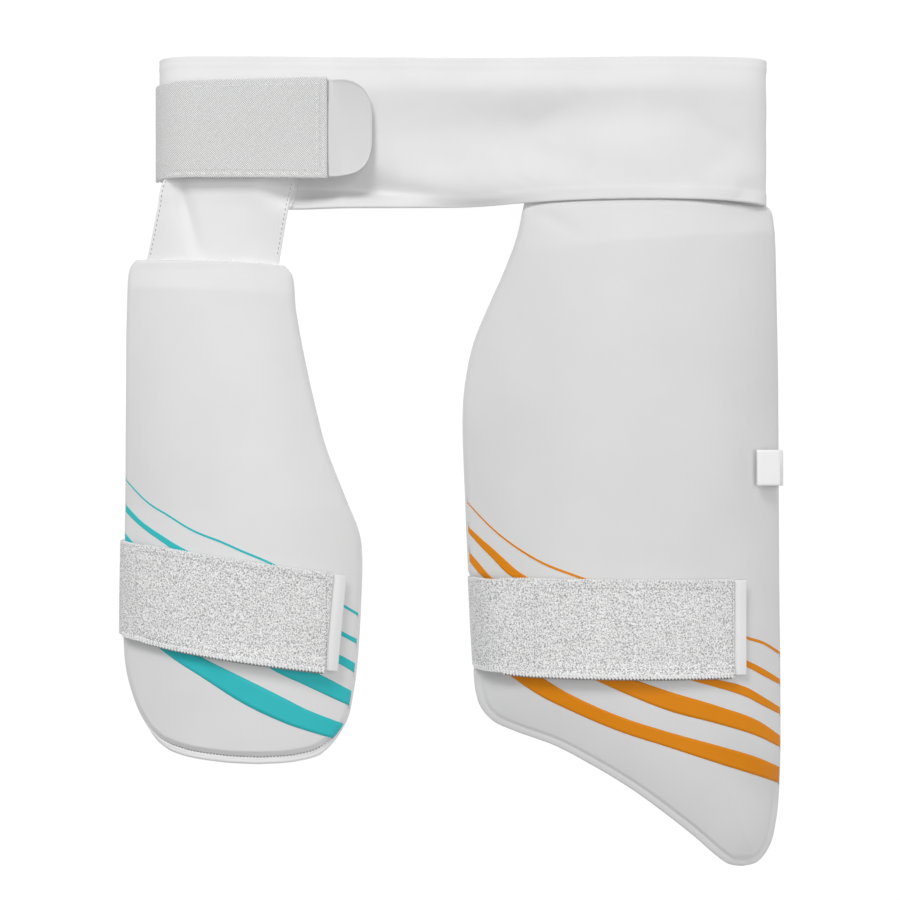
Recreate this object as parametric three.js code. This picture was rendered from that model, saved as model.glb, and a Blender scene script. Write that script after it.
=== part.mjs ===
// A combined cricket thigh guard. A padded waist belt carries a large moulded pad for the outer thigh and,
// on a hanger panel, a smaller one for the inner thigh. Each pad has its own elastic strap.
// It lies on its back as it is laid down: X runs across the belt, Y towards the belt's top edge and Z up.
// All sizes are in millimetres. X is 0 at the belt's middle and Y is 0 at the belt's lower edge.
import * as THREE from "three";
import { mergeVertices } from "three/addons/utils/BufferGeometryUtils.js";

const { clamp, degToRad, lerp, smoothstep } = THREE.MathUtils;

// Belt and waist loop
const beltWidth = 381; // from the left fold to the right fold
const beltHeight = 92;
const beltThickness = 2.4;
const loopDepth = 41; // height of the belt's front over the floor
const beltFoldReach = 19; // how far a fold starts inside the belt's end
const beltTail = 24; // what the belt's right end runs back under itself

// Elastic webbing, the same for the waist and for both thigh straps
const webbingWidth = 60;
const webbingThickness = 1.8;
const hookTapeThickness = 1.2;
const waistSideStep = 2.4; // how far the waist elastic stands out past the belt's left end
const waistElasticLap = 109; // what the waist elastic covers of the belt's front
const waistElasticBottom = 17; // height of the elastic's lower edge on the belt
const waistElasticTilt = 0.8; // degrees
const waistHookLength = 72;

// Moulded tab at the end of the waist elastic
const tabReach = 27.5;
const tabTongue = 7.4; // what lies under the elastic
const tabThickness = 2;
const tabCornerPower = 3.2; // how square the tab's free end is

// Hanger panel between the belt and the inner pad
const panelThickness = 1.6;
const panelTop = 66; // height of its upper end on the belt
const panelTuck = 10; // what runs on behind the inner pad
const panelTapeShow = 1.8; // how far its hook tape stands out at the side
const panelTapeTop = 64;

// Outer thigh pad
const outerPadWidth = 202.2;
const outerPadLength = 426.5;
const outerPadFoam = 20;
const outerPadCurve = 175; // radius of the thigh that it is moulded to
const outerPadTuck = 14; // what is sewn behind the belt
const outerPadOverhang = 11.5; // how far it stands out past the belt's right end
const outerPadTopRamp = 24; // thin upper zone, from the belt down to the foam
const outerPadShoulder = 15;

// Inner thigh pad
const innerPadWidth = 151.1;
const innerPadLength = 312.6;
const innerPadFoam = 14;
const innerPadCurve = 125;
const innerPadDrop = 31.9; // from the belt's lower edge to the pad
const innerPadOverhang = 25.2; // how far it stands out past the belt's left end
const innerPadTopRamp = 19;
const innerPadShoulder = 13;
const innerPadFlange = 3.2; // what the backing shows below the foam

// Both pads
const backingThickness = 2;
const padEdgeThickness = 2.6;
const padEdgeFlange = 2.5; // flat welt between the outline and the foam's shoulder

// Thigh straps
const strapSideStep = 2.8; // how far a strap's middle passes outside a pad's edge
const strapTurn = 3.4; // height of a strap's tight turn under a pad
const strapAnchorInset = 12; // where a strap is sewn, inside a pad's right edge
const strapAnchorRise = 26; // over what length it leaves the floor for that seam
const outerStrapCentre = -253; // height of its middle where it passes the pad's left edge
const outerStrapTilt = -1.8;
const outerStrapLap = 167; // what it covers of the pad
const outerHookLap = 130;
const outerHookShow = 8.4;
const innerStrapCentre = -238.5;
const innerStrapTilt = -9;
const innerStrapLap = 128;
const innerHookLap = 116;
const innerHookShow = 8.6;

// Folded label in the outer pad's right seam
const labelWidth = 22.6;
const labelLap = 14.5;
const labelStandOut = 2.4;
const labelThickness = 0.6;
const labelRise = 1.9; // over the pad's face, where it stands off a little
const labelCentre = -162.5;

// Clearances
const gap = 0.5; // between sewn or touching layers
const coverGap = 0.6; // over and under a pad's curved faces
const foamGap = 0.8; // between a pad's foam and its backing
const coverEase = 0.6; // how gently the belt lifts onto the outer pad

const beltLeft = -beltWidth / 2;
const beltRight = beltWidth / 2;

// The belt's front, left to right. along is a share of the belt's width, upper and lower are heights of its
// two edges as shares of the loop's depth, and hem is how far the lower edge lies over Y 0, as a share of
// the belt's height.
const beltSections = [
  { along: 0.0, upper: 0.975, lower: 0.975, hem: -0.014 },
  { along: 0.16, upper: 0.99, lower: 0.97, hem: -0.014 },
  { along: 0.31, upper: 0.93, lower: 0.86, hem: -0.006 },
  { along: 0.47, upper: 0.88, lower: 0.71, hem: 0.004 },
  { along: 0.6, upper: 0.89, lower: 0.7, hem: 0.036 },
  { along: 0.71, upper: 0.95, lower: 0.93, hem: 0.046 },
  { along: 0.805, upper: 1.0, lower: 1.02, hem: 0.048 },
  { along: 0.9, upper: 0.985, lower: 0.965, hem: 0.044 },
  { along: 0.95, upper: 0.955, lower: 0.87, hem: 0.036 },
  { along: 1.0, upper: 0.9, lower: 0.74, hem: 0.021 },
];

// Soft folds in the belt's front. along and up place the middle as shares of the belt's width and height,
// reach and spread are the fold's half length and half width as shares of the belt's height, turn is in
// degrees and rise is a share of the loop's depth.
const beltFolds = [
  { along: 0.37, up: 0.1, reach: 0.34, spread: 0.065, turn: -2, rise: -0.12 },
  { along: 0.45, up: 0.3, reach: 0.95, spread: 0.17, turn: 4, rise: 0.075 },
  { along: 0.52, up: 0.0, reach: 0.3, spread: 0.07, turn: 0, rise: -0.12 },
  { along: 0.66, up: 0.68, reach: 0.9, spread: 0.16, turn: 2, rise: -0.06 },
  { along: 0.84, up: 0.5, reach: 0.5, spread: 0.13, turn: -10, rise: -0.035 },
  { along: 0.93, up: 0.28, reach: 0.24, spread: 0.07, turn: 48, rise: 0.045 },
];

// The hanger panel from its upper end to its seam. down runs from its upper end to the seam, left and right
// are shares of the belt's width from the belt's left end.
const panelSections = [
  { down: 0.0, left: 0.044, right: 0.252 },
  { down: 0.24, left: 0.044, right: 0.238 },
  { down: 0.465, left: 0.044, right: 0.224 },
  { down: 0.5, left: 0.013, right: 0.222 },
  { down: 0.64, left: 0.002, right: 0.2155 },
  { down: 0.8, left: -0.0085, right: 0.207 },
  { down: 0.92, left: -0.0185, right: 0.196 },
  { down: 1.0, left: -0.021, right: 0.192 },
];
const panelValley = { left: 0.062, down: 0.75, reach: 0.3, spread: 0.075, turn: -54, rise: -0.1 };

// Outlines of the two pads, from the upper edge to the lowest point. down and across are shares of the
// pad's length and width.
const outerPadLeftSide = [
  { down: 0.0, across: 0.215 },
  { down: 0.0216, across: 0.193 },
  { down: 0.0715, across: 0.169 },
  { down: 0.1236, across: 0.128 },
  { down: 0.179, across: 0.0757 },
  { down: 0.2284, across: 0.0336 },
  { down: 0.2816, across: 0.0094 },
  { down: 0.3318, across: 0.0 },
  { down: 0.4654, across: 0.0079 },
  { down: 0.5458, across: 0.0148 },
  { down: 0.7088, across: 0.0326 },
  { down: 0.7465, across: 0.0406 },
  { down: 0.7686, across: 0.0564 },
  { down: 0.788, across: 0.0959 },
  { down: 0.801, across: 0.166 },
  { down: 0.8188, across: 0.283 },
  { down: 0.8469, across: 0.4 },
  { down: 0.88, across: 0.516 },
  { down: 0.9217, across: 0.635 },
  { down: 0.9529, across: 0.7156 },
  { down: 0.981, across: 0.7814 },
  { down: 0.9951, across: 0.823 },
  { down: 1.0, across: 0.8655 },
];
const outerPadRightSide = [
  { down: 0.0, across: 0.89 },
  { down: 0.012, across: 0.902 },
  { down: 0.0295, across: 0.909 },
  { down: 0.0345, across: 0.948 },
  { down: 0.0405, across: 0.961 },
  { down: 0.0617, across: 0.9712 },
  { down: 0.0839, across: 0.9755 },
  { down: 0.1662, across: 0.9817 },
  { down: 0.2987, across: 0.992 },
  { down: 0.4485, across: 0.9985 },
  { down: 0.7367, across: 1.0 },
  { down: 0.8889, across: 0.9955 },
  { down: 0.9376, across: 0.9837 },
  { down: 0.9742, across: 0.9614 },
  { down: 0.9965, across: 0.9169 },
  { down: 1.0, across: 0.8655 },
];
const innerPadLeftSide = [
  { down: 0.0, across: 0.07 },
  { down: 0.016, across: 0.042 },
  { down: 0.1, across: 0.0265 },
  { down: 0.2454, across: 0.0192 },
  { down: 0.4258, across: 0.0113 },
  { down: 0.5598, across: 0.0046 },
  { down: 0.7, across: 0.0 },
  { down: 0.8013, across: 0.0033 },
  { down: 0.8596, across: 0.0278 },
  { down: 0.9159, across: 0.0761 },
  { down: 0.9623, across: 0.1549 },
  { down: 0.9834, across: 0.2594 },
  { down: 0.9958, across: 0.4322 },
  { down: 1.0, across: 0.5844 },
];
const innerPadRightSide = [
  { down: 0.012, across: 0.685 },
  { down: 0.0282, across: 0.7128 },
  { down: 0.1014, across: 0.73 },
  { down: 0.1913, across: 0.763 },
  { down: 0.2885, across: 0.8067 },
  { down: 0.3717, across: 0.8504 },
  { down: 0.4767, across: 0.9312 },
  { down: 0.5474, across: 0.9874 },
  { down: 0.5893, across: 1.0 },
  { down: 0.6932, across: 0.9967 },
  { down: 0.818, across: 0.9808 },
  { down: 0.8714, across: 0.9669 },
  { down: 0.9367, across: 0.9332 },
  { down: 0.984, across: 0.8339 },
  { down: 0.9971, across: 0.726 },
  { down: 1.0, across: 0.5844 },
];

// How the foam rises from a pad's upper edge. inward is a share of the upper ramp, height one of the foam.
const foamRise = [
  { inward: 0.0, height: 0.0 },
  { inward: 0.5, height: 0.36 },
  { inward: 1.0, height: 0.62 },
  { inward: 1.6, height: 0.76 },
  { inward: 3.0, height: 0.92 },
  { inward: 5.0, height: 1.0 },
];

// A smooth function through one column of a table.
function curveThrough(rows, position, column) {
  const positions = rows.map((row) => row[position]);
  const values = rows.map((row) => row[column]);
  const curve = new THREE.CubicInterpolant(positions, values, 1, [0]);
  return (at) => curve.evaluate(at)[0];
}

// Evenly spaced numbers from first to last.
function steps(first, last, count) {
  return Array.from({ length: count + 1 }, (_, i) => lerp(first, last, i / count));
}

// A closed mesh between two equal grids of points. It is turned round if its faces point inwards.
function solidBetween(front, back) {
  const rows = front.length;
  const columns = front[0].length;
  const points = [...front.flat(), ...back.flat()];
  const at = (face, i, j) => face * rows * columns + i * columns + j;
  const triangles = [];
  const quad = (a, b, c, d) => triangles.push([a, b, c], [a, c, d]);
  for (let i = 0; i < rows - 1; i++) {
    for (let j = 0; j < columns - 1; j++) {
      quad(at(0, i, j), at(0, i + 1, j), at(0, i + 1, j + 1), at(0, i, j + 1));
      quad(at(1, i, j), at(1, i, j + 1), at(1, i + 1, j + 1), at(1, i + 1, j));
    }
  }
  const border = [];
  for (let i = 0; i < rows - 1; i++) border.push([i, 0]);
  for (let j = 0; j < columns - 1; j++) border.push([rows - 1, j]);
  for (let i = rows - 1; i > 0; i--) border.push([i, columns - 1]);
  for (let j = columns - 1; j > 0; j--) border.push([0, j]);
  border.forEach((here, k) => {
    const next = border[(k + 1) % border.length];
    quad(at(1, ...here), at(1, ...next), at(0, ...next), at(0, ...here));
  });
  let volume = 0;
  for (const [a, b, c] of triangles) {
    volume += points[a].dot(points[b].clone().cross(points[c])) / 6;
  }
  const facing = volume < 0 ? triangles.map(([a, b, c]) => [a, c, b]) : triangles;
  const loose = new THREE.BufferGeometry().setFromPoints(points);
  loose.setIndex(facing.flat());
  return withoutSlivers(mergeVertices(loose, 1e-3));
}

// Drops the triangles whose corners were merged, as at the end of a pad where its two sides meet.
function withoutSlivers(geometry) {
  const index = geometry.index.array;
  const kept = [];
  for (let i = 0; i < index.length; i += 3) {
    const [a, b, c] = [index[i], index[i + 1], index[i + 2]];
    if (a !== b && b !== c && c !== a) kept.push(a, b, c);
  }
  geometry.setIndex(kept);
  geometry.computeVertexNormals();
  return geometry;
}

// A sheet of even thickness about a grid of points.
function sheetAbout(middle, thickness) {
  const rows = middle.length;
  const columns = middle[0].length;
  const faces = [thickness / 2, -thickness / 2].map((offset) =>
    middle.map((line, i) =>
      line.map((point, j) => {
        const down = middle[Math.min(i + 1, rows - 1)][j].clone().sub(middle[Math.max(i - 1, 0)][j]);
        const across = line[Math.min(j + 1, columns - 1)].clone().sub(line[Math.max(j - 1, 0)]);
        const normal = down.cross(across).normalize();
        return point.clone().addScaledVector(normal, offset);
      }),
    ),
  );
  return solidBetween(faces[0], faces[1]);
}

// A sheet of even thickness over a region of the XY plane: places gives the grid and height its middle.
function sheetOver(places, height, thickness) {
  return sheetAbout(
    places.map((line) => line.map(([x, y]) => new THREE.Vector3(x, y, height(x, y)))),
    thickness,
  );
}

// Points of a fold in the XZ plane. It leaves start along a slope, passes outermost going straight down and,
// if there is a finish, ends there going level. side is 1 for a fold to the right and -1 to the left.
function foldPoints(side, start, slope, outermost, finish, pieces) {
  const hold = 0.55; // a handle's length as a share of its arc, close to an ellipse's
  const lead = hold * Math.abs(outermost.x - start.x);
  const curves = [
    new THREE.CubicBezierCurve(
      start,
      new THREE.Vector2(start.x + side * lead, start.y + side * lead * slope),
      new THREE.Vector2(outermost.x, lerp(outermost.y, start.y, hold)),
      outermost,
    ),
  ];
  if (finish) {
    curves.push(
      new THREE.CubicBezierCurve(
        outermost,
        new THREE.Vector2(outermost.x, lerp(outermost.y, finish.y, hold)),
        new THREE.Vector2(lerp(finish.x, outermost.x, hold), finish.y),
        finish,
      ),
    );
  }
  return curves.flatMap((curve, i) => curve.getPoints(pieces).slice(i));
}

// Sum of the rounded ridges and valleys of a table at one place.
function foldsAt(folds, x, y) {
  return folds.reduce((sum, fold) => {
    const turn = degToRad(fold.turn);
    const dx = x - fold.x;
    const dy = y - fold.y;
    const along = (dx * Math.cos(turn) + dy * Math.sin(turn)) / fold.reach;
    const across = (dy * Math.cos(turn) - dx * Math.sin(turn)) / fold.spread;
    return sum + fold.rise * Math.exp(-along * along - across * across);
  }, 0);
}

// A pad: its outline, the arch that it is moulded to and the foam on it.
function describePad(pad) {
  const at = ({ down, across }) =>
    new THREE.Vector3(pad.left + across * pad.width, pad.top - down * pad.length, 0);
  const sides = [pad.leftSide, pad.rightSide].map(
    (rows) => new THREE.CatmullRomCurve3(rows.map(at), false, "centripetal"),
  );
  const outline = sides.map((side) => side.getSpacedPoints(90));
  const crown = pad.rimHeight + pad.curve - Math.sqrt(pad.curve ** 2 - (pad.width / 2) ** 2);
  const topMiddle = (outline[0][0].x + outline[1][0].x) / 2;
  const wideMiddle = pad.left + pad.width / 2;

  // The arch's middle line leans towards the narrow upper end.
  const axis = (y) => {
    const down = (pad.top - y) / (pad.straightFrom * pad.length);
    return lerp(topMiddle, wideMiddle, clamp(down, 0, 1));
  };
  const arch = (x, y) => {
    const away = Math.min(Math.abs(x - axis(y)), pad.width / 2);
    return crown - pad.curve + Math.sqrt(pad.curve ** 2 - away ** 2);
  };
  const edgeDistance = (x, y) => {
    const place = new THREE.Vector3(x, y, 0);
    return Math.min(...outline.flat().map((point) => point.distanceTo(place)));
  };
  const rise = curveThrough(foamRise, "inward", "height");
  const foam = (x, y) => {
    const inward = (pad.top - pad.tuck - y) / pad.topRamp;
    const shoulder = clamp((edgeDistance(x, y) - padEdgeFlange) / pad.shoulder, 0, 1);
    const round = Math.sqrt(1 - (1 - shoulder) ** 2);
    return lerp(padEdgeThickness, pad.foam, round * rise(Math.max(inward, 0)));
  };
  const foamBottom = (x, y) => arch(x, y) + backingThickness + foamGap;
  const face = (x, y) => foamBottom(x, y) + foam(x, y);
  const edgeAt = (side, y) => {
    const line = outline[side];
    const next = line.findIndex((point) => point.y < y);
    const [a, b] = [line[Math.max(next - 1, 0)], line[Math.max(next, 1)]];
    return lerp(a.x, b.x, (y - a.y) / (b.y - a.y));
  };
  return { ...pad, sides, arch, foamBottom, face, edgeAt };
}

// Rungs of places between a pad's two sides, closer together near the outline. What is tucked away above
// the foam's ramp is the first of them.
function padPlaces(pad) {
  const stops = [0, padEdgeFlange, padEdgeFlange + 0.25 * pad.shoulder, padEdgeFlange + pad.shoulder];
  const inside = steps(0, 1, 8).slice(1, -1);
  const tuckedShare = (side) => pad.tuck / side.getLength();
  const ends = steps(0, 1, pad.rungs).map((share) =>
    pad.sides.map((side) => side.getPointAt(lerp(tuckedShare(side), 1, share))),
  );
  if (pad.tuck > 0) ends.unshift(pad.sides.map((side) => side.getPointAt(0)));
  return ends.map(([a, b]) => {
    const width = a.distanceTo(b);
    const fit = Math.min(1, width / (2.6 * stops.at(-1)));
    const near = stops.map((stop) => (width > 0 ? (stop * fit) / width : 0));
    const middle = inside.map((t) => lerp(near.at(-1), 1 - near.at(-1), t));
    const shares = [...near, ...middle, ...near.map((t) => 1 - t).reverse()];
    return shares.map((t) => [lerp(a.x, b.x, t), lerp(a.y, b.y, t)]);
  });
}

function solidOver(places, top, bottom) {
  const grid = (height) => places.map((line) => line.map(([x, y]) => new THREE.Vector3(x, y, height(x, y))));
  return solidBetween(grid(top), grid(bottom));
}

function padFoam(pad) {
  return solidOver(padPlaces(pad), pad.face, pad.foamBottom);
}

// The backing follows the pad's outline, and flange is what it shows below the foam.
function padBacking(pad, flange) {
  const places = padPlaces(pad).map((rung) =>
    rung.map(([x, y]) => [x, y - flange * smoothstep(pad.top - y, 0.6 * pad.length, pad.length)]),
  );
  return solidOver(places, (x, y) => pad.arch(x, y) + backingThickness, pad.arch);
}

const rimHeight = webbingThickness + gap;
const outerPad = describePad({
  left: beltRight + outerPadOverhang - outerPadWidth,
  top: outerPadTuck,
  tuck: outerPadTuck,
  width: outerPadWidth,
  length: outerPadLength,
  foam: outerPadFoam,
  curve: outerPadCurve,
  topRamp: outerPadTopRamp,
  shoulder: outerPadShoulder,
  leftSide: outerPadLeftSide,
  rightSide: outerPadRightSide,
  straightFrom: 0.33,
  rungs: 26,
  rimHeight,
});
const innerPad = describePad({
  left: beltLeft - innerPadOverhang,
  top: -innerPadDrop,
  tuck: 0,
  width: innerPadWidth,
  length: innerPadLength,
  foam: innerPadFoam,
  curve: innerPadCurve,
  topRamp: innerPadTopRamp,
  shoulder: innerPadShoulder,
  leftSide: innerPadLeftSide,
  rightSide: innerPadRightSide,
  straightFrom: 0.5,
  rungs: 24,
  rimHeight,
});

const upperHeight = curveThrough(beltSections, "along", "upper");
const lowerHeight = curveThrough(beltSections, "along", "lower");
const hemShare = curveThrough(beltSections, "along", "hem");
const placedBeltFolds = beltFolds.map(({ along, up, reach, spread, turn, rise }) => ({
  x: beltLeft + along * beltWidth,
  y: up * beltHeight,
  reach: reach * beltHeight,
  spread: spread * beltHeight,
  turn,
  rise: rise * loopDepth,
}));

function beltLowerEdge(x) {
  return hemShare((x - beltLeft) / beltWidth) * beltHeight;
}

// Height of the middle of the belt's front. Its lower half is lifted where it lies over the outer pad.
function beltFront(x, y) {
  const along = (x - beltLeft) / beltWidth;
  const up = clamp(y / beltHeight, 0, 1);
  const free = loopDepth * lerp(lowerHeight(along), upperHeight(along), up) + foldsAt(placedBeltFolds, x, y);
  const cover = outerPad.foamBottom(x, 0) + padEdgeThickness + gap + beltThickness / 2;
  const lift = coverEase * Math.log(1 + Math.exp((cover - free) / coverEase));
  return free + lift * (1 - smoothstep(y, outerPadTuck, beltHeight));
}

function slopeOf(height, x, y) {
  return height(x + 0.5, y) - height(x - 0.5, y);
}

const elasticFloor = webbingThickness / 2;
const beltFloor = webbingThickness + gap + beltThickness / 2;

// One line along the belt, from its free left end over the front and round the right fold to its tail.
function beltLine(share) {
  const leftStart = beltLeft + beltFoldReach;
  const rightStart = beltRight - beltFoldReach;
  const leftY = lerp(beltLowerEdge(leftStart), beltHeight, share);
  const rightY = lerp(beltLowerEdge(rightStart), beltHeight, share);
  const cornerCut = 12 * (1 - smoothstep(share, 0.05, 0.24)); // rounded corner behind the hanger panel
  const leftFold = foldPoints(
    -1,
    new THREE.Vector2(leftStart, beltFront(leftStart, leftY)),
    slopeOf(beltFront, leftStart, leftY),
    new THREE.Vector2(beltLeft + beltThickness / 2 + cornerCut, loopDepth * 0.56),
    null,
    5,
  );
  const rightFold = foldPoints(
    1,
    new THREE.Vector2(rightStart, beltFront(rightStart, rightY)),
    slopeOf(beltFront, rightStart, rightY),
    new THREE.Vector2(beltRight - beltThickness / 2, loopDepth * lerp(0.49, 0.53, share)),
    new THREE.Vector2(beltRight - beltFoldReach - 4, beltFloor),
    5,
  );
  const front = steps(leftStart, rightStart, 29).slice(1, -1);
  const tail = new THREE.Vector2(beltRight - beltFoldReach - beltTail, beltFloor);
  const edgeY = (x) => lerp(beltLowerEdge(clamp(x, beltLeft, beltRight)), beltHeight, share);
  return [
    ...leftFold.reverse().map(({ x, y: z }) => new THREE.Vector3(x, leftY, z)),
    ...front.map((x) => new THREE.Vector3(x, edgeY(x), beltFront(x, edgeY(x)))),
    ...rightFold.map(({ x, y: z }, i) => new THREE.Vector3(x, i > 5 ? edgeY(beltRight) : edgeY(x), z)),
    new THREE.Vector3(tail.x, edgeY(beltRight), tail.y),
  ];
}

function waistBelt() {
  const shares = [0, 0.05, 0.1, 0.17, 0.27, 0.42, 0.6, 0.8, 1];
  return sheetAbout(shares.map(beltLine), beltThickness);
}

// Heights over the belt's front of what is stacked on it under the waist elastic.
const tapeOnBelt = beltThickness / 2 + gap + hookTapeThickness / 2;
const panelOnBelt = tapeOnBelt + hookTapeThickness / 2 + gap + panelThickness / 2;
const hookOnBelt = panelOnBelt + panelThickness / 2 + gap + hookTapeThickness / 2;
const elasticOnBelt = hookOnBelt + hookTapeThickness / 2 + gap + webbingThickness / 2;

const waistElasticEnd = beltLeft + waistElasticLap - waistSideStep;
const waistCentreLine = waistElasticBottom + webbingWidth / 2;
const waistTilt = Math.tan(degToRad(waistElasticTilt));

// Y of a line of the waist elastic at x. It leans the other way once it has turned under the belt.
function waistY(across, x, side) {
  return waistCentreLine + across * webbingWidth + side * waistTilt * (x - beltLeft);
}

function waistElasticLine(across) {
  const start = beltLeft + beltFoldReach + 6;
  const height = (x, y) => beltFront(x, y) + elasticOnBelt;
  const startY = waistY(across, start, 1);
  const fold = foldPoints(
    -1,
    new THREE.Vector2(start, height(start, startY)),
    slopeOf(height, start, startY),
    new THREE.Vector2(beltLeft - waistSideStep + webbingThickness / 2, loopDepth * 0.57),
    new THREE.Vector2(start - 2, elasticFloor),
    8,
  );
  const front = steps(waistElasticEnd, start, 8).slice(0, -1);
  const floor = steps(start - 2, beltRight - beltFoldReach + 3, 10).slice(1);
  return [
    ...front.map((x) => new THREE.Vector3(x, waistY(across, x, 1), height(x, waistY(across, x, 1)))),
    ...fold.map(({ x, y: z }, i) => new THREE.Vector3(x, waistY(across, x, i > 8 ? -1 : 1), z)),
    ...floor.map((x) => new THREE.Vector3(x, waistY(across, x, -1), elasticFloor)),
  ];
}

function waistElastic() {
  return sheetAbout(steps(-0.5, 0.5, 4).map(waistElasticLine), webbingThickness);
}

function waistHookPatch() {
  const right = waistElasticEnd - tabTongue - gap;
  const margin = 4 / webbingWidth; // the patch is a little narrower than the webbing
  return sheetOver(
    steps(right - waistHookLength, right, 8).map((x) =>
      steps(margin - 0.5, 0.5 - margin, 4).map((across) => [x, waistY(across, x, 1)]),
    ),
    (x, y) => beltFront(x, y) + hookOnBelt,
    hookTapeThickness,
  );
}

// The tab is a flat plate: a thin tongue under the elastic and a thicker D-shaped grip beyond it.
function waistTab() {
  const left = waistElasticEnd - tabTongue;
  const gripStart = waistElasticEnd + gap;
  const right = waistElasticEnd + tabReach;
  const levelX = (left + gripStart) / 2;
  const slopeX = slopeOf(beltFront, levelX, waistCentreLine);
  const half = webbingWidth / 2;
  const slopeY =
    (beltFront(levelX, waistCentreLine + half) - beltFront(levelX, waistCentreLine - half)) / webbingWidth;
  const underside = (x, y) =>
    beltFront(levelX, waistCentreLine) +
    slopeX * (x - levelX) +
    slopeY * (y - waistCentreLine) +
    hookOnBelt -
    hookTapeThickness / 2;
  const halfHeight = (x) => {
    const share = clamp((x - gripStart) / (right - gripStart), 0, 1);
    return Math.max(half * (1 - share ** tabCornerPower) ** (1 / tabCornerPower), 0.5);
  };
  const ends = steps(0, Math.PI / 2, 10).map((angle) => lerp(gripStart, right, Math.sin(angle)));
  const places = [left, gripStart - gap / 2, ...ends].map((x) =>
    steps(-1, 1, 4).map((up) => [x, waistY(0, x, 1) + up * halfHeight(x)]),
  );
  const top = (x, y) => underside(x, y) + (x < gripStart ? hookTapeThickness : tabThickness);
  return solidOver(places, top, underside);
}

const hookOnPad = coverGap + hookTapeThickness / 2;
const strapOnPad = hookOnPad + hookTapeThickness / 2 + gap + webbingThickness / 2;

// Facts of a strap on its pad. Its place across is from -0.5 at its lower edge to 0.5 at its upper edge.
function describeStrap(pad, strap) {
  const tilt = degToRad(strap.tilt);
  const edge = pad.edgeAt(0, strap.centre);
  const end = edge - strapSideStep + strap.lap;
  const foldY = (across) => strap.centre + (across * webbingWidth) / Math.cos(tilt);
  const foldEdge = (across) => pad.edgeAt(0, foldY(across));
  const foldStart = (across) => foldEdge(across) + padEdgeFlange + pad.shoulder + 1;
  const place = (across, x) => {
    const square = smoothstep(x, edge + pad.shoulder, end) * Math.sin(-tilt) * webbingWidth * across;
    return [x + square, foldY(across) + Math.tan(tilt) * (x + square - edge)];
  };
  return { ...strap, pad, tilt, edge, end, foldY, foldEdge, foldStart, place };
}

// One line along a thigh strap: over the pad's face, round its left edge and along the floor to its anchor.
function strapLine(strap, across) {
  const { pad, tilt, end } = strap;
  const edge = strap.foldEdge(across);
  const start = strap.foldStart(across);
  const height = ([x, y]) => pad.face(x, y) + strapOnPad;
  const front = steps(end, start, 11).map((x) => strap.place(across, x));
  const [startX, startY] = front.at(-1);
  const underY = (x) => strap.foldY(across) - Math.tan(tilt) * (x - strap.edge);
  const fold = foldPoints(
    -1,
    new THREE.Vector2(startX, height([startX, startY])),
    slopeOf((x, y) => height([x, y]), startX + 1, startY),
    new THREE.Vector2(edge - strapSideStep, elasticFloor + strapTurn),
    new THREE.Vector2(edge - 0.2, elasticFloor),
    7,
  );
  const foldPlaceY = (x, i) => (i > 7 ? underY(x) : strap.foldY(across) + Math.tan(tilt) * (x - strap.edge));
  const anchor = pad.left + pad.width - strapAnchorInset;
  const lift = anchor - strapAnchorRise;
  const seam = pad.arch(anchor, underY(anchor)) - coverGap - webbingThickness / 2;
  const rise = (x) => lerp(elasticFloor, seam, smoothstep(x, lift, anchor));
  const floor = [...steps(edge, lift, 4).slice(1), ...steps(lift, anchor, 5).slice(1)];
  return [
    ...front.slice(0, -1).map((spot) => new THREE.Vector3(...spot, height(spot))),
    ...fold.map(({ x, y: z }, i) => new THREE.Vector3(x, foldPlaceY(x, i), z)),
    ...floor.map((x) => new THREE.Vector3(x, underY(x), rise(x))),
  ];
}

function thighStrap(strap) {
  return sheetAbout(
    steps(-0.5, 0.5, 4).map((across) => strapLine(strap, across)),
    webbingThickness,
  );
}

// The hook tape lies under the strap's end and stands out past it as a grip.
function strapHookTape(strap) {
  const end = strap.end + strap.hookShow;
  const share = 0.5 - 1 / webbingWidth; // a millimetre narrower on each side
  return sheetOver(
    steps(end - strap.hookLap, end, 12).map((x) =>
      steps(-share, share, 4).map((across) => strap.place(across, x)),
    ),
    (x, y) => strap.pad.face(x, y) + hookOnPad,
    hookTapeThickness,
  );
}

const outerStrap = describeStrap(outerPad, {
  centre: outerStrapCentre,
  tilt: outerStrapTilt,
  lap: outerStrapLap,
  hookLap: outerHookLap,
  hookShow: outerHookShow,
});
const innerStrap = describeStrap(innerPad, {
  centre: innerStrapCentre,
  tilt: innerStrapTilt,
  lap: innerStrapLap,
  hookLap: innerHookLap,
  hookShow: innerHookShow,
});

const panelBottom = -innerPadDrop - panelTuck;
const panelLeft = curveThrough(panelSections, "down", "left");
const panelRight = curveThrough(panelSections, "down", "right");
const panelFold = {
  x: beltLeft + panelValley.left * beltWidth,
  y: lerp(panelTop, panelBottom, panelValley.down),
  reach: panelValley.reach * beltHeight,
  spread: panelValley.spread * beltHeight,
  turn: panelValley.turn,
  rise: panelValley.rise * loopDepth,
};

// The panel leaves the belt's front and runs down to the underside of the inner pad.
function panelHeight(x, y) {
  const onBelt = beltFront(x, y) + panelOnBelt;
  const underPad = innerPad.arch(x, y) - coverGap - panelThickness / 2;
  const free = smoothstep(-y, 0, innerPadDrop);
  const unsewn = clamp((y + innerPadDrop) / (0.3 * innerPadDrop), 0, 1);
  return lerp(onBelt, underPad, free) + unsewn * free * foldsAt([panelFold], x, y);
}

function hangerPanel() {
  const places = steps(0, 1, 18).map((down) => {
    const y = lerp(panelTop, panelBottom, down);
    const left = beltLeft + panelLeft(down) * beltWidth;
    const right = beltLeft + panelRight(down) * beltWidth;
    return steps(left, right, 8).map((x) => [x, y]);
  });
  return sheetOver(places, panelHeight, panelThickness);
}

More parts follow.
